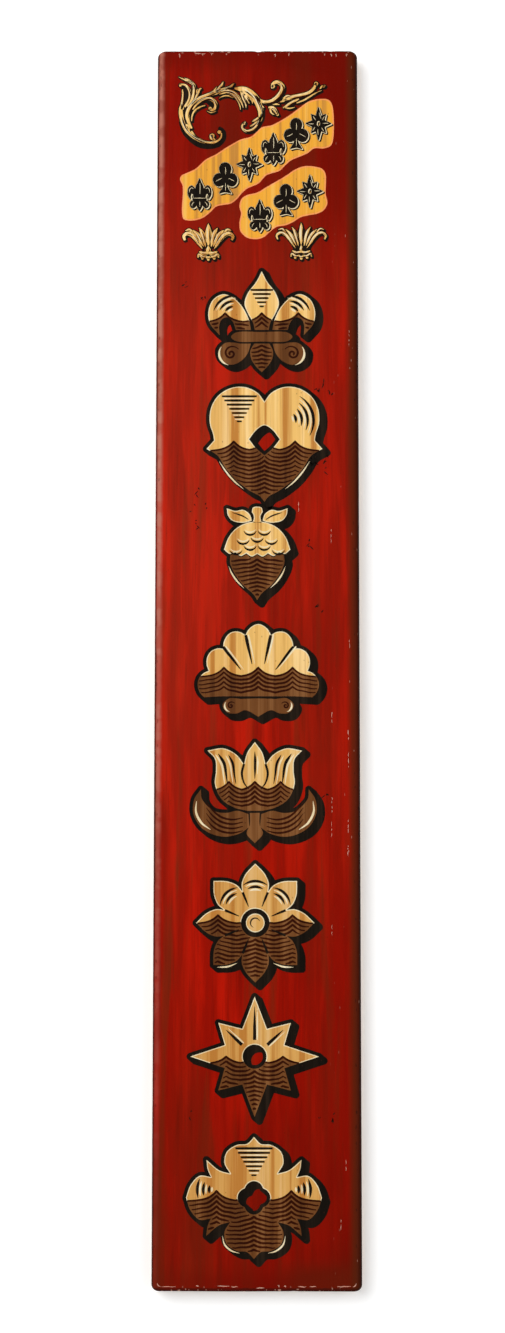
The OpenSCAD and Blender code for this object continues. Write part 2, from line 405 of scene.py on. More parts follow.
# Enamels: their colours, the strength of their bands, and what differs from the common look
commonEnamel = {"bands": 0.5, "roughness": 0.34, "metal": 0.0, "shine": 0.03, "aged": 0.0}
enamelLooks = {
    "gilding": {"base": (240, 192, 110), "dark": (190, 124, 54), "light": (255, 218, 150),
                "grime": (120, 72, 30), "bands": 0.95, "roughness": 0.32, "metal": 0.1, "aged": 0.44,
                "slot": "gilding"},
    "ribbon_gold": {"base": (242, 170, 56), "dark": (186, 126, 60), "light": (248, 194, 96),
                    "grime": (140, 84, 34), "bands": 0.8, "roughness": 0.33, "metal": 0.05,
                    "slot": "gilding"},
    "ribbon_rim": {"base": (250, 158, 92), "dark": (226, 122, 74), "light": (252, 190, 130),
                   "grime": (140, 70, 40), "bands": 0.4, "slot": "gilding"},
    "umber": {"base": (112, 68, 34), "dark": (74, 40, 18), "light": (152, 104, 62), "grime": (50, 28, 14),
              "slot": "umber_paint"},
    "maroon": {"base": (50, 16, 3), "dark": (34, 8, 2), "light": (76, 32, 12), "grime": (70, 34, 14)},
    "lamp_black": {"base": (26, 20, 14), "dark": (12, 10, 8), "light": (48, 36, 26), "grime": (60, 32, 20),
                   "roughness": 0.32, "slot": "black_paint"},
    "cream": {"base": (238, 220, 178), "dark": (212, 180, 130), "light": (250, 240, 214),
              "grime": (150, 110, 70), "bands": 0.4, "slot": "cream_paint"},
    "bare_chip": {"base": (218, 166, 146), "dark": (186, 122, 102), "light": (236, 200, 184),
                  "grime": (150, 90, 70), "roughness": 0.5},
}
enamelStreaks = {
    "wide": {"across": 115.0, "along": 1.8, "seed": 7.0, "contrast": 2.6},
    "tight": {"across": 480.0, "along": 6.0, "seed": 17.0, "contrast": 2.0},
    "fine": {"across": 1300.0, "along": 16.0, "seed": 29.0, "contrast": 1.5},
}
enamelSpecks = {"spots": {"size": 0.0021, "stretch": 1.6, "amount": 0.05, "seed": 2.0}}
enamelRelief = {"strength": 0.2, "depth": 0.0004, "height": [["rings", 0.5], ["fine", 0.6]]}


def makeEnamel(name):
    # brushed paint over the board: bands and brush marks up the grain, more age lower down, a little grime
    look = linearLook({**commonEnamel, **enamelLooks[name]})
    bands, aged, rough = look["bands"], look["aged"], look["roughness"]
    constants = {"Specular IOR Level": look["shine"], "Metallic": look["metal"]}
    material, nodes, shader = newMaterial(name, constants)
    fields = boardFields(nodes, enamelStreaks, enamelSpecks)[1]
    layers = [
        ("dark", [("wide", 0.5, 0.85, 0.0, bands)]),
        ("light", [("wide", 0.45, 0.15, 0.0, bands)]),
        ("dark", [("tight", 0.55, 0.95, 0.0, 0.4)]),
        ("light", [("fine", 0.55, 0.95, 0.0, 0.3)]),
        ("dark", [("z", -0.46, -0.70, 0.0, aged)]),
        ("dark", [("x", 0.01, -0.05, 0.0, 0.6 * aged), ("z", -0.15, -0.21)]),
        ("grime", ["spots", 0.55]),
    ]
    colour = nodes.layered(look["base"], fields, layers, look)
    roughness = [[("fine", 0.2, 0.9, rough - 0.05, rough + 0.08)]]
    finishSurface(nodes, shader, fields, colour, roughness, enamelRelief)
    return material


paints = {name: makeEnamel(name) for name in enamelLooks}
ground = makeGround()

metalLooks = {
    "zinc": {"base": (186, 190, 194), "dark": (122, 126, 130), "stain": (150, 138, 120), "roughness": 0.24},
    "wire": {"base": (176, 180, 186), "dark": (108, 110, 116), "stain": (128, 112, 92), "roughness": 0.18},
    "brass": {"base": (196, 160, 92), "dark": (128, 92, 44), "stain": (92, 70, 40), "roughness": 0.22},
}
metalStreaks = {"drawn": {"across": 2600.0, "along": 260.0, "seed": 4.0, "contrast": 1.8}}
metalSpecks = {"spots": {"size": 0.0009, "stretch": 1.0, "amount": 0.22, "seed": 6.0}}
metalLayers = [("dark", [("patch", 0.4, 0.75)]), ("stain", ["spots", 0.6])]
metalRelief = {"strength": 0.15, "depth": 0.0001, "height": [["drawn"]]}


def makeMetal(name):
    # plated metal: drawn lines, dull patches and a little tarnish in spots
    look = linearLook(metalLooks[name])
    material, nodes, shader = newMaterial(name, {"Metallic": 1.0})
    where = nodes.add("TexCoord").outputs["Object"]
    fields = {**nodes.masks(streaks, where, metalStreaks), **nodes.masks(specks, where, metalSpecks),
              "patch": nodes.cloud(where, scale=260.0, detail=4.0, roughness=0.6)}
    colour = nodes.layered(look["base"], fields, metalLayers, look)
    roughness = [["drawn", 0.14], [("patch", 0.3, 0.8, 0.0, 0.22)], [look["roughness"]]]
    finishSurface(nodes, shader, fields, colour, roughness, metalRelief)
    return material


rubberLook = {"base": (44, 34, 28), "worn": (64, 52, 44), "dust": (150, 138, 124)}
rubberSpecks = {"dust": {"size": 0.0007, "stretch": 1.0, "amount": 0.16, "seed": 8.0}}
rubberLayers = [("worn", ["patch"]), ("dust", ["dust", 0.5])]
rubberRelief = {"strength": 0.25, "depth": 0.0001, "height": [["patch"]]}


def makeRubber():
    # dull moulded rubber, a little worn and dusty
    look = linearLook(rubberLook)
    material, nodes, shader = newMaterial("moulded_rubber", {})
    where = nodes.add("TexCoord").outputs["Object"]
    fields = {**nodes.masks(specks, where, rubberSpecks),
              "patch": nodes.cloud(where, scale=420.0, detail=5.0)}
    colour = nodes.layered(look["base"], fields, rubberLayers, look)
    finishSurface(nodes, shader, fields, colour, [[("patch", 0.3, 0.7, 0.62, 0.8)]], rubberRelief)
    return material


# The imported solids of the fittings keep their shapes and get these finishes
finishes = {"zinc_strap": makeMetal("zinc"), "ring_wire": makeMetal("wire"),
            "brass_screw": makeMetal("brass"), "bumper_rubber": makeRubber()}
for row in frame["record"]["subparts"]:
    if row["material_slot"] in finishes:
        slots = frame["nodes"][row["node"]].data.materials
        slots.clear()
        slots.append(finishes[row["material_slot"]])
log("materials made")


# Drawing tools: a line is a list of points, and a third value on a point makes it a sharp corner

drawing = {
    "step": 0.6,             # length of the pieces of a smooth line
    "slack": 0.03,           # how far a thinned line may leave the smooth one
    "longest": 6.0,          # longest piece of a thinned line
    "gentleBend": 4.0,       # degrees, up to which an offset line needs no arc at a point
    "roundStep": 12.0,       # degrees between the points of such an arc
    "merge": 1e-4,           # points of a filled shape that are nearer than this become one
    "dragSteps": (0, 0.33, 0.67, 1),        # where along its shade a dragged outline is drawn again
}


def around(centre, radius, angle):
    # the point at a radius from a centre, with the angle in radians
    return (centre[0] + radius * math.cos(angle), centre[1] + radius * math.sin(angle))


def arc(centre, radius, start, end, count=14):
    return [around(centre, radius, a) for a in np.radians(np.linspace(start, end, count))]


def spiral(centre, outer, inner, start, turns, count=40):
    # runs inwards from the outer radius; negative turns run clockwise
    shares = [k / (count - 1) for k in range(count)]
    return [around(centre, outer * (inner / outer) ** s, math.radians(start + 360 * turns * s))
            for s in shares]


def smoothLine(points, closed=False, step=drawing["step"]):
    # centripetal Catmull-Rom line through the points, which neither loops nor overshoots
    spots = [np.array(p[:2], float) for p in points]
    sharp = [len(p) > 2 for p in points]
    count = len(spots)
    line = []
    for i in range(count if closed else count - 1):
        j = (i + 1) % count
        here, there = spots[i], spots[j]
        before, after = spots[i - 1], spots[(i + 2) % count]
        if sharp[i] or (not closed and i == 0):
            before = 2 * here - there
        if sharp[j] or (not closed and i == count - 2):
            after = 2 * there - here
        knots = [0.0]
        for a, b in ((before, here), (here, there), (there, after)):
            knots.append(knots[-1] + max(np.linalg.norm(b - a), 1e-6) ** 0.5)
        t0, t1, t2, t3 = knots
        pieces = max(2, math.ceil(np.linalg.norm(there - here) / step))
        for k in range(pieces):
            t = t1 + (t2 - t1) * k / pieces
            a = before * (t1 - t) / (t1 - t0) + here * (t - t0) / (t1 - t0)
            b = here * (t2 - t) / (t2 - t1) + there * (t - t1) / (t2 - t1)
            c = there * (t3 - t) / (t3 - t2) + after * (t - t2) / (t3 - t2)
            ab = a * (t2 - t) / (t2 - t0) + b * (t - t0) / (t2 - t0)
            bc = b * (t3 - t) / (t3 - t1) + c * (t - t1) / (t3 - t1)
            line.append(tuple(ab * (t2 - t) / (t2 - t1) + bc * (t - t1) / (t2 - t1)))
    if not closed:
        line.append(tuple(spots[-1]))
    return line


def places(line):
    # a line as an array of places, without the marks of its sharp corners
    return np.array([p[:2] for p in line], float)


def following(spots):
    # the next point of each point on a closed line
    return np.roll(spots, -1, axis=0)


def thinned(loop):
    # leaves out the points that lie within the slack of the straight line between their neighbours
    spots = places(loop)
    kept, last = [0], 0
    for k in range(2, len(spots)):
        chord = spots[k] - spots[last]
        length = max(np.linalg.norm(chord), 1e-9)
        away = spots[last + 1:k] - spots[last]
        gap = np.abs(away[:, 0] * chord[1] - away[:, 1] * chord[0]).max() / length
        if gap > drawing["slack"] or length > drawing["longest"]:
            last = k - 1
            kept.append(last)
    return [tuple(spots[k]) for k in kept] + [tuple(spots[-1])]


def outline(points):
    return thinned(smoothLine(points, closed=True))


def flipped(line):
    return [(-p[0], *p[1:]) for p in line]


def both(lines):
    # some lines and their mirror images
    return lines + [flipped(line) for line in lines]


def mirrored(half):
    # closes a right half, drawn from its top to its bottom, with its mirror image
    return list(half) + [p for p in flipped(reversed(half)) if abs(p[0]) > 1e-6]


def moved(line, right, up, size=1.0):
    return [(right + size * p[0], up + size * p[1], *p[2:]) for p in line]


def stroke(line, width, ends=(0.25, 0.25), swell=0.5):
    # closed outline of a brush stroke: widest at swell along its way, and narrow at its ends
    spots = places(line)
    along = np.concatenate([[0], np.cumsum(np.linalg.norm(np.diff(spots, axis=0), axis=1))])
    share = along / along[-1]
    rise = np.where(share < swell, share / max(swell, 1e-6), (1 - share) / max(1 - swell, 1e-6))
    low = np.where(share < swell, ends[0], ends[1])
    half = width / 2 * (low + (1 - low) * np.sin(rise.clip(0, 1) * math.pi / 2))
    tangent = np.gradient(spots, axis=0)
    tangent /= np.maximum(np.linalg.norm(tangent, axis=1), 1e-9)[:, None]
    normal = np.stack([-tangent[:, 1], tangent[:, 0]], axis=1) * half[:, None]
    return [tuple(p) for p in spots + normal] + [tuple(p) for p in (spots - normal)[::-1]]


def smoothStroke(points, width, ends=(0.25, 0.25), swell=0.5):
    return stroke(smoothLine(points), width, ends, swell)


def inside(points, loops):
    # even-odd test of many points against all the loops together
    hit = np.zeros(len(points), bool)
    x, y = np.asarray(points, float).T[:, :, None]
    for loop in loops:
        a = places(loop)
        b = following(a)
        crosses = (a[:, 1] > y) != (b[:, 1] > y)
        rise = np.where(a[:, 1] == b[:, 1], 1.0, b[:, 1] - a[:, 1])
        meets = a[:, 0] + (y - a[:, 1]) * (b[:, 0] - a[:, 0]) / rise
        hit ^= (crosses & (x < meets)).sum(axis=1) % 2 == 1
    return hit


def distance(points, loops, batch=2000):
    # distance of many points from the edges of the loops, worked out for a batch of them at a time
    points = np.asarray(points, float)
    best = np.full(len(points), 1e9)
    for loop in loops:
        a = places(loop)
        edge = following(a) - a
        length2 = np.maximum((edge ** 2).sum(axis=1), 1e-12)
        for first in range(0, len(points), batch):
            away = points[first:first + batch, None, :] - a[None]
            share = np.clip((away * edge).sum(axis=2) / length2, 0, 1)
            gap = np.linalg.norm(away - share[:, :, None] * edge, axis=2).min(axis=1)
            best[first:first + batch] = np.minimum(best[first:first + batch], gap)
    return best


def clipped(line, loops, margin, least=2.0):
    # the stretches of a line that lie in the loops and keep the margin from their edges
    keep = inside(line, loops) & (distance(line, loops) >= margin)
    runs, run = [], []
    for point, kept in zip(line, keep):
        if kept:
            run.append(point)
        elif run:
            runs.append(run)
            run = []
    runs.append(run)
    return [r for r in runs if len(r) > 2 and math.dist(r[0], r[-1]) >= least]


def turned(loop, counterclockwise):
    a = places(loop)
    b = following(a)
    area = (a[:, 0] * b[:, 1] - b[:, 0] * a[:, 1]).sum()
    return list(loop) if (area > 0) == counterclockwise else list(reversed(loop))


def offsetLine(loop, amount):
    # the loop moved to its right by an amount. It may cross itself, and fillBetween sorts that out
    spots = places(loop)
    ahead = following(spots) - spots
    ahead /= np.maximum(np.linalg.norm(ahead, axis=1), 1e-9)[:, None]
    line = []
    for k, spot in enumerate(spots):
        into, out = ahead[k - 1], ahead[k]
        first, last = np.array([into[1], -into[0]]), np.array([out[1], -out[0]])
        bend = math.degrees(math.atan2(into[0] * out[1] - into[1] * out[0], into @ out))
        if abs(bend) < drawing["gentleBend"]:
            middle = first + last
            line.append(tuple(spot + middle / np.linalg.norm(middle) * amount))
        elif bend * amount > 0:
            steps = max(2, math.ceil(abs(bend) / drawing["roundStep"]))
            start = math.atan2(first[1], first[0])
            line += [around(spot, amount, start + math.radians(bend) * s / steps) for s in range(steps + 1)]
        else:
            line += [tuple(spot + first * amount), tuple(spot + last * amount)]
    return line


def offsetLoops(loops, amount):
    # an outline grows by the amount and its holes shrink by it
    return [offsetLine(turned(loop, n == 0), amount) for n, loop in enumerate(loops)]


# Paint films: each coat is a thin closed plate that lies on the face of the plank

def newMesh(name, verts, faces):
    mesh = bpy.data.meshes.new(name)
    mesh.from_pydata(verts, [], faces)
    mesh.validate()
    return mesh


def plate(name, spots, faces, coat, base):
    # spots are in millimetres on the face; the plate reaches from one coat's height into another's
    overlap = 0.02
    heights = (plankLow.y + coats[coat], plankLow.y + coats[base] + overlap)
    used = sorted({v for face in faces for v in face})
    index = {v: k for k, v in enumerate(used)}
    count = len(used)
    verts = [(spots[v][0] * millimetre, y * millimetre, spots[v][1] * millimetre)
             for y in heights for v in used]
    top = [[index[v] for v in face] for face in faces]
    edges = dict.fromkeys(edge for face in top for edge in zip(face, face[1:] + face[:1]))
    sides = [(a, a + count, b + count, b) for a, b in edges if (b, a) not in edges]
    under = [[v + count for v in reversed(face)] for face in top]
    return newMesh(name, verts, top + under + sides)


def addPiece(name, mesh, material):
    piece = bpy.data.objects.new(name, mesh)
    bpy.context.scene.collection.objects.link(piece)
    mesh.materials.append(material)
    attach(piece, "sign")
    return piece


def layer(name, shape, paint, coat, base="ground"):
    # one coat of one paint as a piece, from its points and faces
    spots, faces = shape
    if faces:
        addPiece(name, plate(name, spots, faces, coat, base), paints[paint])


def fillBetween(lines, test):
    # the triangles between closed lines whose middles pass the test, turned to face the viewer
    spots, edges = [], []
    for line in lines:
        first, count = len(spots), len(line)
        spots += [Vector(p[:2]) for p in line]
        edges += [(first + k, first + (k + 1) % count) for k in range(count)]
    found = delaunay_2d_cdt(spots, edges, [], 0, drawing["merge"])
    spots = np.array([v[:] for v in found[0]])
    faces = np.array(found[2])
    keep = test(spots[faces].mean(axis=1))
    return spots, [list(map(int, face)) for face in faces[keep]]


def filled(line):
    # everything within one closed line
    return fillBetween([line], lambda spots: inside(spots, [line]))


def joined(shapes):
    # several filled shapes as one
    spots, faces = [], []
    for some, found in shapes:
        faces += [[v + len(spots) for v in face] for face in found]
        spots += [tuple(spot) for spot in some]
    return spots, faces


def strip(outlines):
    # brush strokes come as closed outlines of two equal sides, and fill as quads between them
    spots, faces = [], []
    for line in outlines:
        first, last = len(spots), len(spots) + len(line) - 1
        spots += line
        for k in range(len(line) // 2 - 1):
            faces.append([first + k, last - k, last - 1 - k, first + k + 1])
    return spots, faces


def shaded(parts, border, shade):
    # everything within the border of any part, and the same again dragged along the shade
    shifts = [(shade[0] * k, shade[1] * k) for k in drawing["dragSteps"]]
    parts = [[thinned(loop) for loop in loops] for loops in parts]
    lines = [moved(wider, *shift) for loops in parts for wider in offsetLoops(loops, border)
             for shift in shifts]

    def covered(points):
        hit = np.zeros(len(points), bool)
        for loops in parts:
            spots = places(p for loop in loops for p in loop)
            low, high = spots.min(axis=0) - border, spots.max(axis=0) + border
            for shift in shifts:
                at = points - np.array(shift)
                near = np.flatnonzero(~hit & (at > low).all(axis=1) & (at < high).all(axis=1))
                if len(near):
                    hit[near] = inside(at[near], loops) | (distance(at[near], loops) < border)
        return hit
    return fillBetween(lines, covered)


def shrunk(loops, rim, split=None, above=True):
    # the part of a shape that lies deeper than the rim, on one side of the split
    regions = [loops]
    if split:
        beyond = 900        # well past the end of any shape
        far = split[0][1] + (beyond if above else -beyond)
        regions.append([turned(list(split) + [(split[-1][0], far), (split[0][0], far)], True)])
    lines = [line for region in regions for line in (offsetLoops(region, -rim) if rim else region)]

    def chosen(points):
        hit = np.ones(len(points), bool)
        for region in regions:
            hit &= inside(points, region)
            if rim:
                hit &= distance(points, region) > rim
        return hit
    return fillBetween(lines, chosen)


# The plank: rings of points round its outline, from the front face back over the eased edges

plankLook = {
    "sideRound": 5.5, "endRound": 2.5, "cornerRound": 6.0, "backRound": 1.5, "spacing": 2.5,
    "sideAngles": range(0, 91, 9),             # rings round the front edge, in degrees
    "straightDepths": [9.0, 12.5],             # rings between the rounded edges
    "backAngles": (22, 45, 68, 90),            # rings round the back edge
    "wearReach": 9, "wearDepth": 1.6, "wearSpread": 2.2,
    "wander": 0.35, "wanderScale": (0.02, 0.012), "wanderSeed": 3.1,
    "knock": 0.9, "knockScale": (0.11, 0.09), "knockSeed": 7.7, "knockShare": 0.42, "knockRise": 3.2,
}


def ringLine(sideInset, endInset):
    # rounded rectangle with evenly spaced points; its number of points is the same for every inset
    corner, spacing = plankLook["cornerRound"], plankLook["spacing"]
    right = halfWidth - sideInset - corner
    top = topEdge - endInset - corner
    bottom = bottomEdge + endInset + corner
    across = max(8, round(2 * halfWidth / spacing))
    along = round((topEdge - bottomEdge) / spacing)
    corners = (((right, top), 90), ((right, bottom), 0), ((-right, bottom), -90), ((-right, top), 180))
    line = []
    for n, (centre, start) in enumerate(corners):
        line += arc(centre, corner, start, start - 90, 9)
        nextCentre, nextStart = corners[(n + 1) % 4]
        last, ahead = line[-1], arc(nextCentre, corner, nextStart, nextStart, 1)[0]
        count = across if n % 2 else along
        line += [(last[0] + (ahead[0] - last[0]) * k / count, last[1] + (ahead[1] - last[1]) * k / count)
                 for k in range(1, count)]
    return line


def quarter(radius, depth):
    # how far a rounded edge stands back at a depth under its face
    return radius - math.sqrt(max(radius ** 2 - (radius - depth) ** 2, 0)) if depth < radius else 0.0


def unevenness(x, z, kind):
    # a noise from -1 to 1 over the plank, whose scale and seed are those of one kind of wear
    across, along = plankLook[kind + "Scale"]
    return noise.noise(Vector((x * across, plankLook[kind + "Seed"], z * along)))


def wear(x, z, depth):
    # hand wear: the arris wanders a little, and is knocked in where chips have gone
    look = plankLook
    arris = math.exp(-((depth - look["wearDepth"]) / look["wearSpread"]) ** 2)
    wander = unevenness(x, z, "wander") * 0.5 + 0.5
    knock = max(0.0, unevenness(x, z, "knock") - look["knockShare"]) * look["knockRise"]
    return arris * (look["wander"] * wander + look["knock"] * knock)


def buildPlank():
    look = plankLook
    body = plankDepth - coats["ground"]
    depths = [look["sideRound"] * (1 - math.cos(math.radians(a))) for a in look["sideAngles"]]
    depths += look["straightDepths"] + [body - look["backRound"]]
    depths += [body - look["backRound"] * (1 - math.sin(math.radians(a))) for a in look["backAngles"]]
    verts = []
    for depth in depths:
        y = plankLow.y + coats["ground"] + depth
        back = max(0.0, quarter(look["backRound"], body - depth))
        ring = ringLine(quarter(look["sideRound"], depth) + back, quarter(look["endRound"], depth) + back)
        for x, z in ring:
            give = wear(x, z, depth)
            if abs(x) > halfWidth - look["wearReach"]:
                x -= math.copysign(give, x)
            if z > topEdge - look["wearReach"]:
                z -= give
            elif z < bottomEdge + look["wearReach"]:
                z += give
            verts.append((x * millimetre, y * millimetre, z * millimetre))
    count = len(ring)
    faces = [list(reversed(range(count))), list(range(len(verts) - count, len(verts)))]
    for near in range(0, len(verts) - count, count):
        far = near + count
        faces += [[near + k, near + (k + 1) % count, far + (k + 1) % count, far + k] for k in range(count)]
    mesh = newMesh("plank_body", verts, faces)
    mesh.polygons.foreach_set("use_smooth", [len(p.vertices) == 4 for p in mesh.polygons])
    piece = addPiece("plank_body", mesh, ground)
    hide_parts("plank")


buildPlank()
log("plank built")


# Ornaments: each big one has parts in gold over umber, with dark strokes, wavy ribs and pale strokes on
# them. They are drawn about their own centre, and a dictionary further down puts them in their places.

splitReach = 7.0        # how fast the line where gold meets umber falls away from its peaks
waveLook = {"pitch": 3.7, "width": 2.1, "margin": 0.8, "least": 3.0, "fade": 0.9, "sway": 0.3,
            "swayLength": 2.2, "swayTurn": 0.8, "ends": (0.5, 0.5)}
# How strokes narrow at their ends, and how far aside and how wide the pale ones are, as shares of the
# gap, width or radius of the dark ones
hatchLook = {"ends": (0.15, 0.15), "aside": 0.46, "shorter": 3, "thinner": 0.8}
rungLook = {"ends": (0.8, 0.8), "taper": 0.3, "paleLength": 0.86, "paleWidth": 0.55, "paleEnds": (0.7, 0.7)}
voluteLook = {"eye": 0.14, "start": 60, "ends": (0.35, 1), "outside": 1.34, "thicker": 1.1,
              "paleEnds": (0.1, 0.1)}


def gold(*loops, split=None):
    # a gold part from its outline and holes; below its split it is umber
    return {"loops": loops, "gold": True, "split": split}


def umber(*loops):
    return {"loops": loops, "gold": False, "split": None}


def ogee(level, rise, peaks):
    # the line where gold meets umber: hollow curves that rise to a point over each peak
    return [(x, level + rise * math.exp(-min(abs(x - peak) for peak in peaks) / splitReach))
            for x in np.arange(-70, 70.1, 0.5)]


def waves(loops, level, rise, peaks, bottom):
    # dark lines one under another that follow the split above them
    look = waveLook
    across = [p[0] for loop in loops for p in loop]
    xs = np.arange(min(across), max(across), 0.5)
    away = np.min(np.abs(xs[:, None] - np.array(peaks)[None]), axis=1)
    strokes = []
    for row in range(1, 1 + int((level - bottom) / look["pitch"])):
        ys = level - look["pitch"] * row + rise * np.exp(-away / splitReach) * look["fade"] ** row
        ys = ys + look["sway"] * np.sin(away / look["swayLength"] + row * look["swayTurn"])
        runs = clipped(list(zip(xs, ys)), loops, look["margin"], look["least"])
        strokes += [stroke(run, look["width"], look["ends"]) for run in runs]
    return strokes


def splitPart(loops, level, rise, peaks, bottom):
    # a part with a split across it, and the waves below that
    return gold(*loops, split=ogee(level, rise, peaks)), waves(loops, level, rise, peaks, bottom)


def hatch(centre, radius, gap, start, end, count, width=2.7, shorten=7):
    # nested curved strokes, the inner ones shorter, each with a pale stroke on its hollow side
    look = hatchLook
    dark, pale = [], []
    for k in range(count):
        r = radius - gap * k
        cut = shorten * k
        dark.append(stroke(arc(centre, r, start + cut, end - cut), width, look["ends"]))
        cut += look["shorter"]
        line = arc(centre, r - gap * look["aside"], start + cut, end - cut)
        pale.append(stroke(line, width * look["thinner"], look["ends"]))
    return dark, pale


def rungs(centre, top, width, count, pitch=3.9, thick=2.1):
    # level lines that shrink to a point, with pale lines between them
    look = rungLook
    dark, pale = [], []
    for k in range(count):
        share = k / count
        half = width / 2 * (1 - share)
        y = top - pitch * k
        line = [(centre + half * s, y) for s in np.linspace(-1, 1, 9)]
        dark.append(stroke(line, thick * (1 - look["taper"] * share), look["ends"]))
        if k < count - 1:
            line = [(centre + half * look["paleLength"] * s, y - pitch / 2) for s in np.linspace(-1, 1, 9)]
            pale.append(stroke(line, thick * look["paleWidth"], look["paleEnds"]))
    return dark, pale


def volutes(aside, level, radius, turns, width=1.9):
    # a pair of dark spirals, each with a pale crescent round its outer side
    look = voluteLook
    dark, pale = [], []
    for side, shine in ((1, (-78, 36)), (-1, (258, 144))):
        centre = (aside * side, level)
        curl = spiral(centre, radius, radius * look["eye"], 90 + look["start"] * side, -turns * side)
        dark.append(stroke(curl, width, look["ends"]))
        crescent = arc(centre, radius * look["outside"], *shine)
        pale.append(stroke(crescent, width * look["thicker"], look["paleEnds"]))
    return dark, pale


def glints(points):
    # pale crescents in the dark border, on both sides
    return both([smoothStroke(points, 1.5, (0.1, 0.1))])


def ray(degrees, near, far, wide=1.0, high=1.0, count=9):
    # straight line outwards from the centre
    a = math.radians(degrees)
    return [(r * math.cos(a) * wide, r * math.sin(a) * high) for r in np.linspace(near, far, count)]


def lobedRing(radius, swell=0.0):
    # an opening with four soft lobes; with no swell it is round
    return [around((0, 0), radius + swell * abs(math.cos(2 * a)), a)
            for a in np.radians(np.arange(0, 360, 7.5))]


def drawFleur():
    petal = outline(mirrored([(0, 48, 1), (5, 38), (13, 27), (16, 17), (12.5, 7), (8, -1), (6.5, -8, 1)]))
    side = outline([(10, -8, 1), (12, 2), (18, 14), (27, 23), (36, 26), (45, 21), (49.5, 10), (48, -2),
                    (39, -13, 1), (39.5, -4), (37, 2), (32, 4), (27, 0), (24, -8, 1)])
    band = outline([(-24, -10.5), (0, -10), (24, -10.5), (28.5, -14.5), (24, -18.5), (0, -19), (-24, -18.5),
                    (-28.5, -14.5)])
    tail = outline(mirrored([(7, -21, 1), (10.5, -28), (9.5, -36), (5, -43), (0, -48, 1)]))
    curl = outline([(10, -21, 1), (13.5, -31), (20, -38), (29, -41), (38, -36), (40, -27), (34, -20.5),
                    (26, -20), (20, -21, 1)])
    split = ogee(-1, 9, [0, -34, 34])
    parts = [gold(loop, split=split) for loop in (petal, side, flipped(side))]
    parts += [umber(loop) for loop in (band, tail, curl, flipped(curl))]
    dark, pale = hatch((25, 4), 20.5, 5.0, 18, 96, 3)
    steps, gaps = rungs(0, 30, 21, 5)
    curls, shines = volutes(28.5, -30.5, 8.2, 1.6)
    ribs = waves([petal], -1, 9, [0], -9) + waves([tail], -19, 4, [0], -46)
    ribs += both(waves([side], 0, 7, [34], -14))
    return parts, both(dark) + steps, ribs + curls, both(pale) + shines + gaps


def drawHeart():
    body = outline(mirrored([(0, 38, 1), (6, 46), (17, 51.5), (30, 51), (42, 44), (49, 32), (50, 18), (47, 8),
                             (46, 2, 1), (53, -6, 1), (43, -12), (36, -23), (26, -35), (13, -45), (4, -50),
                             (0, -55, 1)]))
    hole = outline(mirrored([(0, 16), (7, 12), (14, 3, 1), (8, -5), (0, -12, 1)]))
    part, ribs = splitPart([body, hole], -8, 9, [-28, 28, 0], -52)
    dark, pale = hatch((18, 20), 27, 5.4, -30, 58, 4)
    steps, gaps = rungs(-23, 43, 32, 7)
    crescents = glints([(41.3, -17.5), (35.5, -26.5), (27.5, -36), (19, -43.3)])
    return [part], dark + steps, ribs, pale + gaps + crescents


def drawAcorn():
    nut = outline(mirrored([(0, -1, 1), (5, -3.5), (10, -0.5, 1), (15, -3), (20, 0.5, 1), (24.5, -1, 1),
                            (25, -8), (21.5, -17), (14, -28), (6, -35), (3, -38, 1), (0, -43, 1)]))
    cap = outline(mirrored([(0, 30), (9, 29), (19, 24), (26.5, 15), (30.5, 4, 1), (25.5, 0), (20, 1.5, 1),
                            (15, -2), (10, 0.5, 1), (5, -2.5), (0, 0, 1)]))
    stalk = outline(mirrored([(0, 44), (4, 43), (5, 39, 1), (3, 35), (4, 29, 1), (0, 28.5)]))
    leaf = outline([(5, 31, 1), (7, 37), (13, 41), (20, 40), (28, 42.5, 1), (27, 36), (23, 31), (15, 29),
                    (9, 29.5)])
    dark, pale = [], []
    for row in range(3):
        for k in range(row + 2):
            x = (k - (row + 1) / 2) * 13
            y = 24.5 - row * 7 - 0.012 * x * x
            dark.append(stroke(arc((x, y), 6.4, 205, 335), 2.0, (0.2, 0.2)))
            pale.append(stroke(arc((x, y + 2.3), 6.2, 215, 325), 1.5, (0.2, 0.2)))
    dark += both([smoothStroke([(8, 32), (14, 35.5), (23, 38.5)], 1.4, (0.4, 0.2))])
    pale += glints([(26, -11.5), (23.4, -18), (18.7, -25), (12.2, -31.8)])
    parts = [umber(nut)] + [gold(loop) for loop in (cap, leaf, flipped(leaf), stalk)]
    return parts, dark, waves([nut], -3, 6, [0], -42), pale


def drawShell():
    lobes, sweep, foot = 7, 184, -26
    rim = []
    for k in range(lobes):
        for s in np.linspace(0, 1, 9):
            a = math.radians(90 + sweep / 2 - sweep / lobes * (k + s))
            r = (57 + 8 * math.sin(math.pi * s) ** 0.8) * (1 - 0.06 * abs(math.cos(a)))
            point = (r * 0.94 * math.cos(a), foot + r * 1.03 * math.sin(a))
            rim.append(point + (1,) if s in (0, 1) else point)
    body = outline(rim + [(34, -27), (19, -27, 1), (-19, -27, 1), (-34, -27)])
    hinge = outline(mirrored([(0, -29), (16, -29.5, 1), (27, -29), (33, -35), (29, -42), (20, -43), (12, -40),
                              (0, -46, 1)]))
    part, ribs = splitPart([body], -9, 9, [0, -32, 32], -26)
    dark, pale = [], []
    for k in range(2, lobes - 1):
        line = moved(ray(90 + sweep / 2 - sweep / lobes * k, 27, 55, 0.94, 1.0, 12), 0, foot + 3)
        dark.append(stroke(line, 3.0, (0.2, 0.8), 0.85))
        pale.append(stroke(moved(line, 2.5, 0.3), 1.7, (0.2, 0.7), 0.8))
    curls, shines = volutes(25.5, -35.8, 4.3, 1.4, 1.5)
    return [part, umber(hinge)], dark, ribs + curls, pale + shines


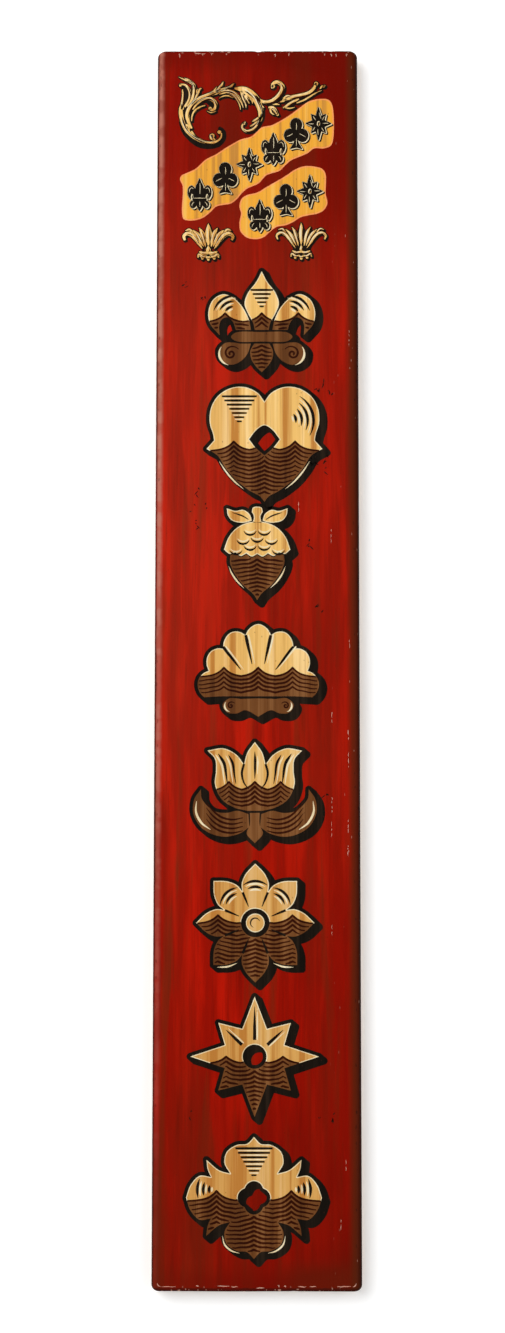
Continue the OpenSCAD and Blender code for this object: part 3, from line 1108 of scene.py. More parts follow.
def drawTulip():
    body = outline(mirrored([(0, 47, 1), (7, 37), (10, 26, 1), (17, 35), (29, 41), (44, 39, 1), (37, 31),
                             (36, 20), (37, 8), (31, -6), (19, -14), (7, -17, 1)]))
    leaf = outline([(6, -20, 1), (16, -17), (27, -19), (38, -17), (49, -6), (50, 3, 1), (56, -6), (57, -19),
                    (51, -31), (41, -38), (28, -41), (14, -38), (5, -32, 1)])
    stem = outline(mirrored([(4.5, -19, 1), (4.5, -30), (7.5, -38), (0, -47, 1)]))
    part, ribs = splitPart([body], 1, 9, [0, -24, 24], -16)
    dark = [smoothStroke([(10, 26.5), (12, 18), (10, 9), (5.5, 3)], 2.2, (0.9, 0.3), 0.2)]
    pale, veins = [], []
    for vein, width in (([(34, 36), (28.5, 27), (26.5, 16), (25.5, 8)], 2.8),
                        ([(24.5, 35), (20.5, 27), (19, 17), (17.5, 8)], 2.3)):
        dark.append(smoothStroke(vein, width, (0.15, 0.2), 0.3))
        pale.append(smoothStroke(moved(vein, 2.5, -0.6), width * 0.75, (0.15, 0.2), 0.3))
    for k in range(4):
        veins.append(smoothStroke([(11, -35.5 + 4 * k), (21, -37.5 + 4.1 * k), (31, -36 + 4.4 * k),
                                   (39, -31.5 + 5 * k), (45, -24.5 + 5.2 * k)], 2.0, (0.4, 0.2)))
    dark = both(dark) + [stroke([(0, 38), (0.3, 30), (0.2, 22), (0, 13)], 2.6, (0.15, 0.2), 0.4)]
    pale = both(pale) + [stroke([(2.4, 34), (2.7, 28), (2.4, 17)], 1.8, (0.15, 0.2), 0.4)]
    pale += both([smoothStroke([(54, -8), (54.5, -18), (49.5, -28), (41, -34.5)], 2.2, (0.2, 0.2))])
    return [part, umber(leaf), umber(flipped(leaf)), umber(stem)], dark, both(veins) + ribs, pale


def drawRosette():
    petals = 8
    sector = 360 / petals
    petal = [(-22.5, 31, 1), (-19, 38), (-11, 45.5), (0, 54, 1), (11, 45.5), (19, 38)]      # angle, radius
    body = outline([(*around((0, 0), r, math.radians(90 + sector * k + turn)), *sharp)
                    for k in range(petals) for turn, r, *sharp in petal])
    part, ribs = splitPart([body, lobedRing(13)], -1, 8, [-34, 34, 0], -50)
    dark = [stroke(ray(90 + sector * (k + 0.5), 16, 30), 2.2, (0.3, 1), 0.9) for k in range(petals)]
    dark.append(stroke(arc((0, 0), 4.4, 20, 250), 1.4, (0.2, 0.2)))
    pale = []
    for mid in (135, 90, 45):
        lines, shines = hatch(ray(mid, 0, 20)[-1], 18, 5.2, mid - 38, mid + 38, 2, 2.6, 5)
        dark += lines
        pale += shines
    pale += glints([(16.5, -36.5), (25, -39.6), (35, -40.2)])
    return [part, gold(lobedRing(8.5))], dark, ribs, pale


def drawStar():
    wide, high = 1.05, 0.97
    reaches = (54, 27, 43, 27) * 4
    body = outline([ray(90 + 22.5 * k, 0, reach, wide, high)[-1] + (1,) for k, reach in enumerate(reaches)])
    part, ribs = splitPart([body, lobedRing(10.5)], -6.5, 6.5, [0, -25, 25], -50)
    dark, pale = [], []
    for turn, reach in ((45, 34), (90, 45), (135, 34)):
        line = ray(turn, 15, reach, wide, high)
        aside = (2.0 * math.sin(math.radians(turn)) + 0.3, -1.9 * math.cos(math.radians(turn)))
        dark.append(stroke(line, 2.8, (1, 0.1), 0.15))
        pale.append(stroke(moved(line, *aside), 1.5, (0.5, 0.1), 0.2))
    return [part], dark, ribs, pale


def drawQuatrefoil():
    quarterLine = [(0, 53, 1), (6, 47), (15, 46), (24, 40), (26, 30), (21, 21, 1), (31, 24), (42, 33, 1),
                   (41, 25), (38, 18, 1), (48, 19), (56, 11), (60, 0, 1)]
    half = quarterLine + [(p[0], -p[1], *p[2:]) for p in reversed(quarterLine[:-1])]
    body = outline(mirrored(half))
    part, ribs = splitPart([body, lobedRing(11.5, 3)], -3, 9, [-33, 33, 0], -50)
    dark, pale = hatch((22, 6), 28, 5.2, -13, 22, 3, shorten=3)
    steps, gaps = rungs(0, 43, 33, 7)
    crescents = glints([(27.8, -33), (25.7, -40.6), (19.6, -45.9), (12.5, -48)])
    return [part], both(dark) + steps, ribs, both(pale) + gaps + crescents


# The big ornaments from top to bottom: how each is drawn, its centre on the face, and its size
ornamentLook = {"border": 3.2, "shade": (4.3, -3.6), "rim": 0.8, "splitLine": 1.9,
                "splitEnds": (0.8, 0.8)}
ornaments = {
    "fleur": {"draw": drawFleur, "at": (4, -204), "size": 0.98},
    "heart": {"draw": drawHeart, "at": (6.5, -316), "size": 0.99},
    "acorn": {"draw": drawAcorn, "at": (0, -418), "size": 0.98},
    "shell": {"draw": drawShell, "at": (1, -521), "size": 0.96},
    "tulip": {"draw": drawTulip, "at": (-2, -633), "size": 0.96},
    "rosette": {"draw": drawRosette, "at": (-1.5, -748.5), "size": 0.97},
    "star": {"draw": drawStar, "at": (-2, -865.5), "size": 1.0},
    "quatrefoil": {"draw": drawQuatrefoil, "at": (-2.5, -987.5), "size": 0.99},
}


def addOrnament(name, place):
    look = ornamentLook

    def placed(lines):
        return [moved(line, *place["at"], size=place["size"]) for line in lines]

    parts, dark, ribs, pale = place["draw"]()
    for part in parts:
        part["loops"] = placed(part["loops"])
    layer(name + "_outline", shaded([part["loops"] for part in parts], look["border"], look["shade"]),
          "lamp_black", "black")
    rims, golds, umbers, splits = [], [], [], []
    for part in parts:
        loops = part["loops"]
        split = placed([part["split"]])[0] if part["split"] else None
        if part["gold"]:
            rims.append(shrunk(loops, 0, split))
            golds.append(shrunk(loops, look["rim"], split))
        if split or not part["gold"]:
            umbers.append(shrunk(loops, 0, split, above=False))
        if split:
            runs = clipped(split, loops, margin=0)
            splits += [stroke(run, look["splitLine"], look["splitEnds"]) for run in runs]
    layer(name + "_rim", joined(rims), "cream", "rim", "black")
    layer(name + "_gold", joined(golds), "gilding", "colour", "rim")
    layer(name + "_umber", joined(umbers), "umber", "colour", "black")
    layer(name + "_ribs", strip(placed(ribs) + splits), "maroon", "rib", "colour")
    layer(name + "_lines", strip(placed(dark)), "lamp_black", "line", "colour")
    layer(name + "_lights", strip(placed(pale)), "cream", "light", "black")


for ornamentName, ornamentPlace in ornaments.items():
    addOrnament(ornamentName, ornamentPlace)
    log(ornamentName + " painted")


# Two slanted ribbon panels, rimmed in pale orange and filled with gold. Small dark ornaments stand in a row
# on each: which one, and its centre

ribbons = {
    "upper_ribbon": {
        "edge": [(-71, -70.5), (-69.5, -67), (-64.5, -64.5), (-56.5, -60.5), (-47.5, -52), (-38, -47),
                 (-30, -41.5), (-23.5, -37.5), (-15.5, -33), (-5.5, -30), (4, -21.5), (13, -19.5),
                 (21.5, -15), (29.5, -10), (38, -3.5), (47, 3), (57.5, 5.5), (65.5, 4.5), (69, -1.5),
                 (69, -35.5), (66.5, -39.5),
                 (60.5, -41.5), (52, -41.5), (46, -46), (37, -50), (30.5, -53), (24.5, -58.5), (20.5, -62.5),
                 (13, -65), (8, -67), (1, -74.5), (-9.5, -79.5), (-14.5, -84), (-18.5, -89), (-24.5, -93.5),
                 (-33, -95), (-38, -96.5), (-43, -101.5), (-50, -107), (-60.5, -109.5), (-67.5, -108),
                 (-69, -102.5), (-68.5, -77)],
        "sprigs": [("fleur", (-53, -85)), ("trefoil", (-29.5, -70)), ("star", (-7.5, -56.5)),
                   ("fleur", (14.5, -42)), ("trefoil", (35.5, -28)), ("star", (56, -18))],
    },
    "lower_ribbon": {
        "edge": [(-16.5, -96.5), (-14.5, -89), (-9.5, -85.5), (0, -83), (9, -77.5), (17.5, -72.5),
                 (26.5, -67), (33.5, -62), (42, -58.5), (52, -58.5), (59.5, -61), (62.5, -66), (62.5, -84),
                 (64, -93.5), (61, -99.5), (55, -103), (47, -104.5), (39.5, -106.5), (32.5, -111),
                 (25.5, -114), (17.5, -115.5), (11, -120.5), (6, -125), (-1, -127), (-9.5, -125.5),
                 (-15.5, -119.5), (-16.5, -112),
                 (-15, -102.5)],
        "sprigs": [("fleur", (2, -105)), ("trefoil", (26, -90.5)), ("star", (48, -82))],
    },
}
ribbonRim = 1.3


def drawTrefoil():
    stalk = outline(mirrored([(0, 8), (2.6, 0), (2.2, -9), (7.5, -17.5, 1), (0, -16)]))
    lobes = [arc(spot, 7.6, 0, 345, 24) for spot in ((0, 11.5), (-8.4, -1.5), (8.4, -1.5))]
    return [gold(loop) for loop in lobes + [stalk]]


# The small ornaments: their parts, size, and thin pale lines about their own centre
sprigs = {
    "fleur": {
        "parts": drawFleur()[0], "size": (21.0, 29.5),
        "marks": [[(0.3, 11), (0.5, 6), (0.3, 0.5)], [(-5.6, -3.6), (0, -3.4), (5.6, -3.6)],
                  [(0.2, -6.5), (0.3, -9), (0.2, -11.5)], [(5, -7), (6.6, -9), (7, -11)],
                  [(-5, -7), (-6.6, -9), (-7, -11)], [(5.6, 5.2), (7.4, 6.2), (8.9, 4.8), (9.3, 1.8)],
                  [(-9.3, 1.8), (-8.9, 4.8), (-7.4, 6.2), (-5.6, 5.2)]],
    },
    "trefoil": {
        "parts": drawTrefoil(), "size": (21.5, 28.5),
        "marks": [[(0.2, 11), (0.4, 7.5), (0.2, 4)], [(8.5, -2.6), (5.6, -1), (3, 0.4)],
                  [(-8.5, -2.6), (-5.6, -1), (-3, 0.4)], [(0.2, -4), (0.3, -8), (0.2, -11.5)]],
    },
    "star": {
        "parts": drawStar()[0], "size": (22.5, 30.0),
        "marks": [[(2.4, 4.4), (0.6, 10.5)], [(4.2, 0.3), (9.2, 0.3)], [(2.9, -4), (5, -7.4)],
                  [(-0.6, -5), (-0.4, -10.5)], [(-4.2, -0.4), (-9.2, -0.3)], [(3.4, 3.2), (5.6, 6.8)],
                  [(-2.6, 3.4), (-5, 7)], [(-3.2, -3.4), (-5.4, -7)]],
    },
}
# Their coats from the bottom up: how far each is wider than the drawing, its shade, paint and height
sprigCoats = [
    {"name": "_sprig_shadows", "border": 0.9, "shade": (1.7, -1.5), "paint": "lamp_black",
     "at": ("colour", "rim")},
    {"name": "_sprig_glints", "border": 0.7, "shade": (0.75, -0.65), "paint": "cream",
     "at": ("line", "colour")},
    {"name": "_sprigs", "border": 0.5, "shade": (0.1, -0.1), "paint": "lamp_black",
     "at": ("light", "line")},
]
sprigMark = 0.5


def addRibbon(name, look):
    edge = outline(look["edge"])
    layer(name + "_rim", filled(edge), "ribbon_rim", "black")
    layer(name + "_gold", shrunk([edge], ribbonRim), "ribbon_gold", "rim", "black")
    rows, marks = [], []
    for kind, centre in look["sprigs"]:
        sprig = sprigs[kind]
        parts = [part["loops"] for part in sprig["parts"]]
        wide, high = sprig["size"] / np.ptp([p for loops in parts for loop in loops for p in loop], axis=0)
        rows.append([[thinned([(centre[0] + x * wide, centre[1] + y * high) for x, y in loop])
                      for loop in loops] for loops in parts])
        marks += [smoothStroke(moved(line, *centre), sprigMark, (0.4, 0.4)) for line in sprig["marks"]]
    for coat in sprigCoats:
        shape = joined([shaded(parts, coat["border"], coat["shade"]) for parts in rows])
        layer(name + coat["name"], shape, coat["paint"], *coat["at"])
    layer(name + "_sprig_marks", strip(marks), "cream", "mark", "light")


for ribbonName, ribbonLook in ribbons.items():
    addRibbon(ribbonName, ribbonLook)
log("ribbons painted")


# The leafy scroll over the ribbons: brush strokes as centre line, width, ends and place of the widest point
scrollStrokes = [
    ([(-69, 0.5), (-70.5, -4.5), (-70, -11), (-68.5, -17), (-65.5, -23.5), (-60.5, -29), (-54.5, -33),
      (-48.5, -35.5), (-42.5, -36), (-37, -34.5), (-33.5, -31), (-33, -27)], 3.9, (0.8, 0.3), 0.15),
    ([(-69, -4.5), (-69, 1.5), (-68.5, 8), (-69, 14.5)], 2.7, (1, 0.3), 0.2),
    ([(-67, -2), (-63.5, 3.5), (-62, 9.5), (-63.5, 15.5), (-67, 19), (-71.5, 19.5)], 2.5, (0.8, 0.4), 0.45),
    ([(-64.5, -1.5), (-59.5, 6.5), (-58, 13.5), (-59, 19), (-62.5, 22), (-67.5, 24), (-72.5, 26.5)], 3.4,
     (0.8, 0.06), 0.4),
    ([(-59, 14.5), (-60, 20), (-63, 23.5), (-67, 25.5)], 1.8, (0.6, 0.12), 0.3),
    ([(-61, 0.5), (-56.5, 6.5), (-54.5, 11), (-53, 15), (-51.5, 15.5)], 2.8, (0.8, 0.3), 0.45),
    ([(-55, 10.5), (-56, 13), (-55, 15)], 1.3, (0.7, 0.3), 0.3),
    ([(-60.5, -22.5), (-63.5, -16), (-64.5, -9.5), (-62.5, -3.5), (-58.5, 2), (-53, 6), (-47.5, 8.5),
      (-41.5, 11), (-36, 13.5), (-30.5, 15.5), (-26, 17), (-22.5, 20)], 4.2, (0.4, 0.08), 0.33),
    ([(-59.5, -4.5), (-55.5, 1), (-50.5, 4.5), (-45.5, 6), (-41, 4.5), (-38.5, 1), (-39, -3), (-41.5, -5),
      (-44, -4)], 3.3, (0.3, 0.55), 0.62),
    ([(-60.5, -15.5), (-60, -10.5), (-58, -6), (-53.5, -2.5), (-48, -0.5)], 1.5, (0.4, 0.5), 0.5),
    ([(-46.5, -6), (-42.5, -7.5), (-38, -6)], 0.8, (0.2, 0.2), 0.5),
    ([(-60.5, -25), (-57.5, -30), (-51.5, -34), (-45, -35.5)], 1.6, (0.7, 0.3), 0.25),
    ([(-42.5, -28.5), (-42, -31.5), (-39, -33.5)], 3.4, (0.7, 0.5), 0.2),
    ([(-67, -18), (-63.5, -20.5), (-62.5, -24.5)], 1.8, (0.5, 0.2), 0.4),
    ([(-44, 8.5), (-37.5, 11), (-32, 13), (-26.5, 13), (-21, 11), (-17, 6.5), (-14.5, 1.5), (-13, -3)], 2.9,
     (0.4, 0.12), 0.5),
    ([(-35, 10), (-28, 11.5), (-23, 9.5), (-19, 5.5), (-16.5, 0.5), (-15.5, -5)], 2.0, (0.3, 0.15), 0.5),
    ([(-43.5, 10.5), (-40, 13.5), (-37.5, 17)], 1.6, (0.7, 0.1), 0.3),
    ([(-38, 12), (-35, 16), (-32.5, 19.5), (-31.5, 22)], 2.7, (0.7, 0.12), 0.3),
    ([(-33, 13.5), (-27.5, 16), (-24, 17.5), (-21.5, 20.5)], 2.2, (0.6, 0.1), 0.35),
    ([(-35.5, 6), (-32, 8), (-27, 8.5), (-22.5, 6.5)], 1.2, (0.2, 0.3), 0.5),
    ([(-21, 15.5), (-13.5, 14.5), (-7, 11), (-1.5, 5.5), (1.5, -1), (3, -7), (2.5, -13.5), (-0.5, -19)], 7.2,
     (0.2, 0.3), 0.28),
    ([(-15, 13), (-13, 6.5), (-11, 1.5), (-10.5, -3)], 2.7, (0.8, 0.12), 0.25),
    ([(-11.5, 9), (-9, 5), (-7.5, 1)], 2.7, (0.8, 0.12), 0.25),
    ([(-7, 6.5), (-5, 4), (-4.5, 1)], 1.8, (0.8, 0.12), 0.25),
    ([(3.5, -8.5), (2.5, -14), (-0.5, -20), (-5, -24), (-10.5, -25), (-14, -22), (-13.5, -18.5),
      (-11, -16.5)], 2.7, (0.3, 0.4), 0.35),
    ([(2, -12), (-1.5, -14.5), (-5, -16)], 2.7, (0.7, 0.12), 0.25),
    ([(0, -16), (-3.5, -19), (-7, -20.5)], 2.2, (0.7, 0.12), 0.25),
    ([(-0.5, 5.5), (3, -1), (4.5, -8.5), (3.5, -14.5)], 2.0, (0.3, 0.1), 0.4),
    ([(-1.5, 8.5), (2, 4.5), (7.5, 2.5), (13, 3.5), (18.5, 7.5), (22, 12.5), (23, 17), (20.5, 20.5),
      (17, 21.5), (14, 19.5), (13.5, 15.5)], 4.2, (0.4, 0.45), 0.6),
    ([(23, 4.5), (30, 6.5), (36.5, 8), (43, 9.5), (48.5, 12), (52, 16), (54, 20.5)], 4.0, (0.3, 0.5), 0.3),
    ([(20.5, 2.5), (23.5, 3.5), (27, 5.5)], 1.8, (0.3, 0.3), 0.5),
    ([(23.5, 6), (27.5, 8), (32, 8)], 2.3, (0.3, 0.1), 0.5),
    ([(23.5, -3), (28.5, 0), (33.5, 3), (38, 5.5)], 3.0, (0.2, 0.3), 0.5),
    ([(24.5, -2.5), (29, -3.5), (34.5, -2.5)], 1.3, (0.3, 0.2), 0.4),
    ([(36, 1.5), (42, 4), (48, 7.5), (53.5, 11), (59, 13.5)], 1.6, (0.4, 0.12), 0.3),
    ([(57.5, 15), (59.5, 17.5), (62.5, 18)], 1.7, (0.5, 0.5), 0.4),
    ([(10, -2.5), (14, -3), (17, -6.5), (18.5, -10)], 3.3, (0.4, 0.3), 0.4),
    ([(11.5, -4), (13, -8), (15.5, -9.5)], 1.6, (0.6, 0.2), 0.3),
    ([(14, 0), (17, 0.5), (20.5, 0)], 1.6, (0.15, 0.15), 0.5),
    ([(4.5, -1), (6, -3)], 1.0, (0.3, 0.3), 0.5),
]
scrollDots = [((-35, -26), 1.7), ((-41.5, -29.5), 2.1), ((-71, 18.5), 1.2), ((54, 20), 1.8),
              ((61, 17.5), 1.1), ((18.5, -9.5), 1.2), ((14.5, 17.5), 1.6), ((-12.5, -18), 1.2),
              ((-43.5, -3.5), 1.5)]
# strokes in the dark ground alone
scrollUnder = [
    ([(-71, -16), (-68, -25), (-61.5, -32.5), (-53.5, -37.5), (-44, -38.5), (-36.5, -36.5), (-32, -31),
      (-32, -24.5), (-35, -22)], 2.8, (0.3, 0.5), 0.5),
    ([(-46.5, 3), (-42.5, 1), (-41.5, -2)], 3.3, (0.3, 0.3), 0.5),
    ([(-67, 3), (-65, 9), (-65.5, 14), (-68.5, 15.5)], 2.7, (0.3, 0.4), 0.5),
    ([(-65, -16), (-65.5, -8.5), (-64, -2)], 2.2, (0.2, 0.3), 0.5),
]
# Veins and shines run along a stroke: their share of its width, the least that is added, and how far aside
scrollLook = {
    "border": 0.9, "shade": (1.1, -1.2), "body": 0.95, "veined": 1.9,
    "vein": {"share": 0.3, "least": 0.4, "aside": (0.27, -0.27)},
    "shine": {"share": 0.17, "least": 0.0, "aside": (-0.2, 0.2)},
}


def addBrushwork(name, strokes, dots, under, look):
    # gold strokes on a dark ground, the wide ones with a dark vein and a pale edge
    fine = 0.8
    lines = [smoothLine(points, step=fine) for points, *rest in strokes]
    golds = [stroke(line, width * look["body"], ends, swell)
             for line, (points, width, ends, swell) in zip(lines, strokes)]
    rounds = [arc(spot, radius, 0, 337.5, 16) for spot, radius in dots]
    dark = [stroke(smoothLine(points, step=fine), *rest) for points, *rest in under]
    layer(name + "_shadow", shaded([[line] for line in golds + rounds + dark], look["border"], look["shade"]),
          "lamp_black", "black")
    layer(name + "_gold", joined([strip(golds), joined(map(filled, rounds))]), "gilding", "colour", "black")
    veins, shines = [], []
    for line, (points, width, ends, swell) in zip(lines, strokes):
        if width >= look["veined"]:
            inner = line[len(line) // 6:-max(2, len(line) // 6)]
            for found, kind in ((veins, look["vein"]), (shines, look["shine"])):
                right, up = (width * side for side in kind["aside"])
                thick = width * kind["share"] + kind["least"]
                found.append(stroke(moved(inner, right, up), thick, (0.2, 0.2), swell))
    layer(name + "_veins", strip(veins), "maroon", "line", "colour")
    layer(name + "_lights", strip(shines), "cream", "light", "colour")


addBrushwork("scroll", scrollStrokes, scrollDots, scrollUnder, scrollLook)
log("scroll painted")


# A palmette: leaves that fan out from a ruffled foot, drawn about the tip of its middle leaf
palmetteHalf = [
    ([(2.6, -21), (4.0, -14), (6.0, -7.5), (8.4, -3.4)], 3.9, (0.1, 0.08), 0.55),
    ([(4.4, -21), (7.2, -14.5), (10.6, -9), (14.4, -5.4)], 3.7, (0.1, 0.08), 0.55),
    ([(5.4, -23), (8.6, -18), (12, -13), (16, -9.4), (19.8, -9), (22.4, -11.4), (21.4, -15)], 3.6,
     (0.12, 0.45), 0.5),
    ([(14, -8.4), (17.4, -5.2), (21, -6)], 2.2, (0.3, 0.1), 0.5),
    ([(0, -26.4), (4, -27.4), (8.2, -25.6)], 2.8, (0.8, 0.3), 0.5),
    ([(1.4, -29.8), (5, -30.6), (8.6, -28.4), (9.4, -31.4)], 2.2, (0.4, 0.4), 0.5),
]
palmetteMiddle = [
    ([(0, -20), (0, -10), (0, 0.6)], 5.4, (0.1, 0.05), 0.5),
    ([(0, -25.4), (0, -22.8), (0, -20.4)], 3.8, (0.75, 0.1), 0.2),
    ([(-2.6, -30.2), (0, -31.4), (2.6, -30.2)], 2.0, (0.5, 0.5), 0.5),
]
palmetteDots = [((-5.4, -32.2), 1.1), ((0, -33), 1.2), ((5.4, -32.2), 1.1)]
palmetteFan = [
    ([(0, -27), (0, -15), (0, -4)], 9, (0.6, 0.3), 0.5),
    ([(2.6, -26), (6, -15), (11, -7.6)], 8, (0.6, 0.4), 0.5),
    ([(-2.6, -26), (-6, -15), (-11, -7.6)], 8, (0.6, 0.4), 0.5),
]
# The left one has full gold leaves, the right one thin pale leaves on a dark fan
palmettes = {
    "left_palmette": {
        "tip": (-44.8, -113), "fan": [],
        "look": {**scrollLook, "body": 1.12, "vein": {"share": 0.22, "least": 0.1, "aside": (0.27, -0.27)},
                 "shine": {"share": 0.2, "least": 0.0, "aside": (-0.2, 0.2)}},
    },
    "right_palmette": {
        "tip": (40, -112.2), "fan": palmetteFan,
        "look": {**scrollLook, "body": 0.74, "vein": {"share": 0.22, "least": 0.2, "aside": (0.27, -0.27)},
                 "shine": {"share": 0.36, "least": 0.0, "aside": (-0.1, 0.1)}},
    },
}


def addPalmette(name, palmette):
    def placed(rows):
        return [(moved(points, *palmette["tip"]), *rest) for points, *rest in rows]

    leaves = palmetteHalf + [(flipped(points), *rest) for points, *rest in palmetteHalf] + palmetteMiddle
    dots = [(moved([spot], *palmette["tip"])[0], radius) for spot, radius in palmetteDots]
    addBrushwork(name, placed(leaves), dots, placed(palmette["fan"]), palmette["look"])


for palmetteName, palmetteEntry in palmettes.items():
    addPalmette(palmetteName, palmetteEntry)
log("palmettes painted")


# Small knocks: dark nicks where the paint is gouged, pale flecks and chips where it is rubbed through

nickSpots = [
    (-64.9, -169.7), (-48.5, -183.7), (60.3, -259), (55.8, -267.4), (67.3, -267.4), (62.6, -331),
    (50.4, -333.5), (60.8, -339.5), (-54.5, -360.7), (-46.3, -373.5), (-58.4, -375), (-55.1, -390.8),
    (45.8, -408), (57.5, -465.3), (61.8, -634.7), (-57.5, -914.5), (54, -914.3), (66.5, -917),
]
# place of the upper end, and length
fleckSpots = [
    (83.4, -212, 15), (37.3, -370.7, 8), (66.5, -395.4, 9), (82.8, -496, 9), (66.8, -561, 10),
    (81.5, -577, 7), (81.5, -597, 13), (66.7, -637, 12), (66.2, -659, 13), (80.9, -657.4, 9),
    (80.8, -680, 10), (66.3, -750, 9), (78.1, -955, 9), (73.5, -1006, 9),
]
# chips along the top, then along the foot: place, length across and drip
endChips = [
    (-72, 48, 1.2, 3.5), (-55, 49, 6, 1), (-50, 48.6, 4, 2), (-42, 48.8, 2.5, 1.6), (-28.6, 48.4, 1.5, 1),
    (16, 48, 1.5, 2.6), (29, 48.6, 1.6, 2.2), (62, 48.4, 1.2, 1.8), (67.8, 48, 1.4, 2.4),
    (72.3, 48, 1.4, 2.8), (82, 48, 1.6, 2.2),
    (-77, -1063.6, 13, 0), (-51.7, -1063, 2.5, 0), (-29, -1063, 11, 0.6), (-19.5, -1063.6, 6, 0),
    (3, -1064.6, 7, 0.6), (19, -1062.6, 1.6, 1.4), (24.6, -1063, 2, 1), (39.5, -1063.6, 7, 0),
    (49, -1063.4, 6, 0), (76, -1063.4, 12, 0.8),
]
rubbedCorner = {"at": (-83.4, -1060.4), "radius": 3.2, "width": 0.8, "ends": (0.1, 0.1)}
# Ranges for the dice: how many, how far from their spot, how long, how wide and how far apart
nickLook = {"count": (2, 4), "aside": (-2.5, 2.5), "up": (-4, 4), "lean": (200, 340), "length": (1.2, 5.0),
            "width": (0.6, 1.5), "ends": (0.3, 0.2)}
fleckLook = {"length": (1.5, 5), "aside": (-0.3, 0.3), "width": (0.25, 0.55), "ends": (0.3, 0.2),
             "apart": (0.5, 2.5)}
chipLook = {"up": (-0.3, 0.3), "width": (0.5, 0.9), "ends": (0.2, 0.2), "dripAside": (-0.25, 0.25),
            "dripWidth": 0.7, "dripEnds": (0.8, 0.1)}


def addKnocks():
    dice = random.Random(7)
    nicks, flecks = [], []
    look = nickLook
    for x, y in nickSpots:
        for _ in range(dice.randint(*look["count"])):
            start = (x + dice.uniform(*look["aside"]), y + dice.uniform(*look["up"]))
            lean = math.radians(dice.uniform(*look["lean"]))
            length = dice.uniform(*look["length"])
            line = [around(start, length * s, lean) for s in (0, 0.5, 1)]
            nicks.append(stroke(line, dice.uniform(*look["width"]), look["ends"]))
    look = fleckLook
    for x, y, length in fleckSpots:
        done = 0
        while done < length:
            run = dice.uniform(*look["length"])
            line = [(x + dice.uniform(*look["aside"]), y - done - run * s) for s in (0, 0.5, 1)]
            flecks.append(stroke(line, dice.uniform(*look["width"]), look["ends"]))
            done += run + dice.uniform(*look["apart"])
    look = chipLook
    for x, y, wide, drip in endChips:
        line = [(x + wide * (s - 0.5), y + dice.uniform(*look["up"])) for s in (0, 0.25, 0.5, 0.75, 1)]
        flecks.append(stroke(line, dice.uniform(*look["width"]), look["ends"]))
        if drip:
            spot = x + dice.uniform(*look["dripAside"]) * wide
            line = [(spot, y + 0.4), (spot + 0.2, y - drip * 0.5), (spot, y - drip)]
            flecks.append(stroke(line, look["dripWidth"], look["dripEnds"]))
    corner = moved(arc((0, 0), rubbedCorner["radius"], 182, 268, 9), *rubbedCorner["at"])
    for line in (corner, flipped(corner)):
        flecks.append(stroke(line, rubbedCorner["width"], rubbedCorner["ends"]))
    layer("nicks", strip(nicks), "lamp_black", "black")
    layer("flecks", strip(flecks), "bare_chip", "black")


addKnocks()
log("knocks added")


# Wall, floor, light and camera

studio = {
    "reach": 2.6, "wallPlace": 0.0003, "floorHeight": -1.75,
    "wallColour": (0.97, 0.97, 0.97, 1.0), "wallRoughness": 0.9, "wallGlow": 0.25,
    "sky": (1.0, 1.0, 1.0, 1.0), "ambient": 0.40,
    "darkSide": (-0.35, 0.25), "roomShade": 0.03,        # gloss reflects a dark room in front of the sign
}
lamps = {
    "key": {"place": (-2.3, -4.5, 1.0), "aim": (0, 0, -0.5), "size": 3.8, "power": 172,
            "tint": (1.0, 0.99, 0.97)},
    "fill": {"place": (3.0, -4.2, -0.4), "aim": (0, 0, -0.6), "size": 3.0, "power": 39,
             "tint": (0.97, 0.98, 1.0)},
    "back": {"place": (1.5, 4.0, 1.2), "aim": (0, 0, -0.5), "size": 3.0, "power": 120,
             "tint": (1.0, 1.0, 1.0)},
}
cameraLook = {"place": (0.0074, -2.2668, -0.7842), "pitch": 6.715, "yaw": 0.2945, "roll": 0.047,
              "lens": 68.13, "sensor": 36.0}


def flatSheet(name, corners, material):
    sheet = bpy.data.objects.new(name, newMesh(name, corners, [(0, 1, 2, 3)]))
    sheet.data.materials.append(material)
    bpy.context.scene.collection.objects.link(sheet)
    sheet.visible_shadow = False
    sheet.visible_diffuse = False


def makeBackdrop():
    # matt white that keeps shadows; it glows a little to the camera, and from behind it isn't there
    constants = {"Base Color": studio["wallColour"], "Roughness": studio["wallRoughness"],
                 "Specular IOR Level": 0.0}
    material, nodes, _ = newMaterial("backdrop", constants)
    path = nodes.add("LightPath").outputs
    reflected = nodes.larger(path["Is Glossy Ray"], path["Is Transmission Ray"])
    seen = nodes.larger(path["Is Camera Ray"], reflected)
    glow = nodes.add("Emission", {"Strength": nodes.times(seen, studio["wallGlow"])}).outputs[0]
    lit = nodes.add("AddShader", {0: nodes.tree.nodes["Principled BSDF"].outputs[0], 1: glow}).outputs[0]
    clear = nodes.add("BsdfTransparent").outputs[0]
    behind = nodes.add("NewGeometry").outputs["Backfacing"]
    choice = nodes.add("MixShader", {0: behind, 1: lit, 2: clear}).outputs[0]
    nodes.plug(choice, nodes.tree.nodes["Material Output"].inputs[0])
    return material


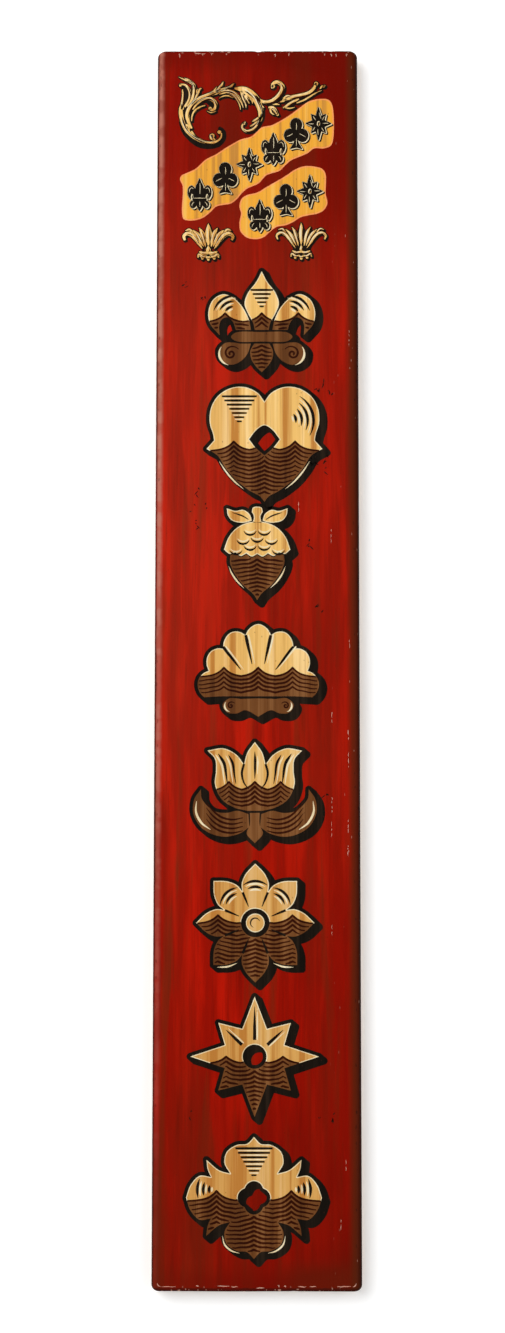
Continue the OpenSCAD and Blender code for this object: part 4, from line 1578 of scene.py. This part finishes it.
def buildStudio():
    backdrop = makeBackdrop()
    r, y, floor = studio["reach"], studio["wallPlace"], studio["floorHeight"]
    flatSheet("wall", [(-r, y, floor), (r, y, floor), (r, y, r), (-r, y, r)], backdrop)
    flatSheet("floor", [(-r, -2 * r, floor), (r, -2 * r, floor), (r, y, floor), (-r, y, floor)], backdrop)
    for name, look in lamps.items():
        lamp = bpy.data.lights.new(name, "AREA")
        lamp.shape = "DISK"
        lamp.size = look["size"]
        lamp.energy = look["power"]
        lamp.color = look["tint"]
        holder = bpy.data.objects.new(name, lamp)
        holder.location = look["place"]
        aim = Vector(look["aim"]) - Vector(look["place"])
        holder.rotation_euler = aim.to_track_quat("-Z", "Y").to_euler()
        bpy.context.scene.collection.objects.link(holder)


def makeWorld():
    # white to the camera and in glass, and in gloss too, save where the dark side of the room is reflected
    world = bpy.data.worlds.new("studio")
    world.use_nodes = True
    world.node_tree.nodes.clear()
    bpy.context.scene.world = world
    nodes = ShaderNodes(world.node_tree)
    path = nodes.add("LightPath").outputs
    depth = nodes.split(nodes.add("TexCoord").outputs["Generated"])[1]
    clear = nodes.larger(path["Is Camera Ray"], path["Is Transmission Ray"])
    seen = nodes.larger(clear, path["Is Glossy Ray"])
    white = nodes.larger(clear, nodes.ramp(depth, *studio["darkSide"], studio["roomShade"], 1.0))
    strength = nodes.plus(nodes.times(seen, white),
                          nodes.times(nodes.calc("SUBTRACT", 1.0, seen), studio["ambient"]))
    sky = nodes.add("Background", {"Color": studio["sky"], "Strength": strength}).outputs[0]
    nodes.add("OutputWorld", {0: sky})


def placeCamera():
    look = cameraLook
    lens = bpy.data.cameras.new("camera")
    lens.lens = look["lens"]
    lens.sensor_width = look["sensor"]
    camera = bpy.data.objects.new("camera", lens)
    yaw = Matrix.Rotation(math.radians(look["yaw"]), 4, "Z")
    pitch = Matrix.Rotation(math.radians(90 + look["pitch"]), 4, "X")
    roll = Matrix.Rotation(math.radians(look["roll"]), 4, "Z")
    camera.matrix_world = Matrix.Translation(look["place"]) @ (yaw @ pitch) @ roll
    bpy.context.scene.collection.objects.link(camera)
    bpy.context.scene.camera = camera


buildStudio()
makeWorld()
placeCamera()
bpy.context.scene.view_settings.view_transform = "Standard"
log("studio built")

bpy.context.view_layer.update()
log("scene done")
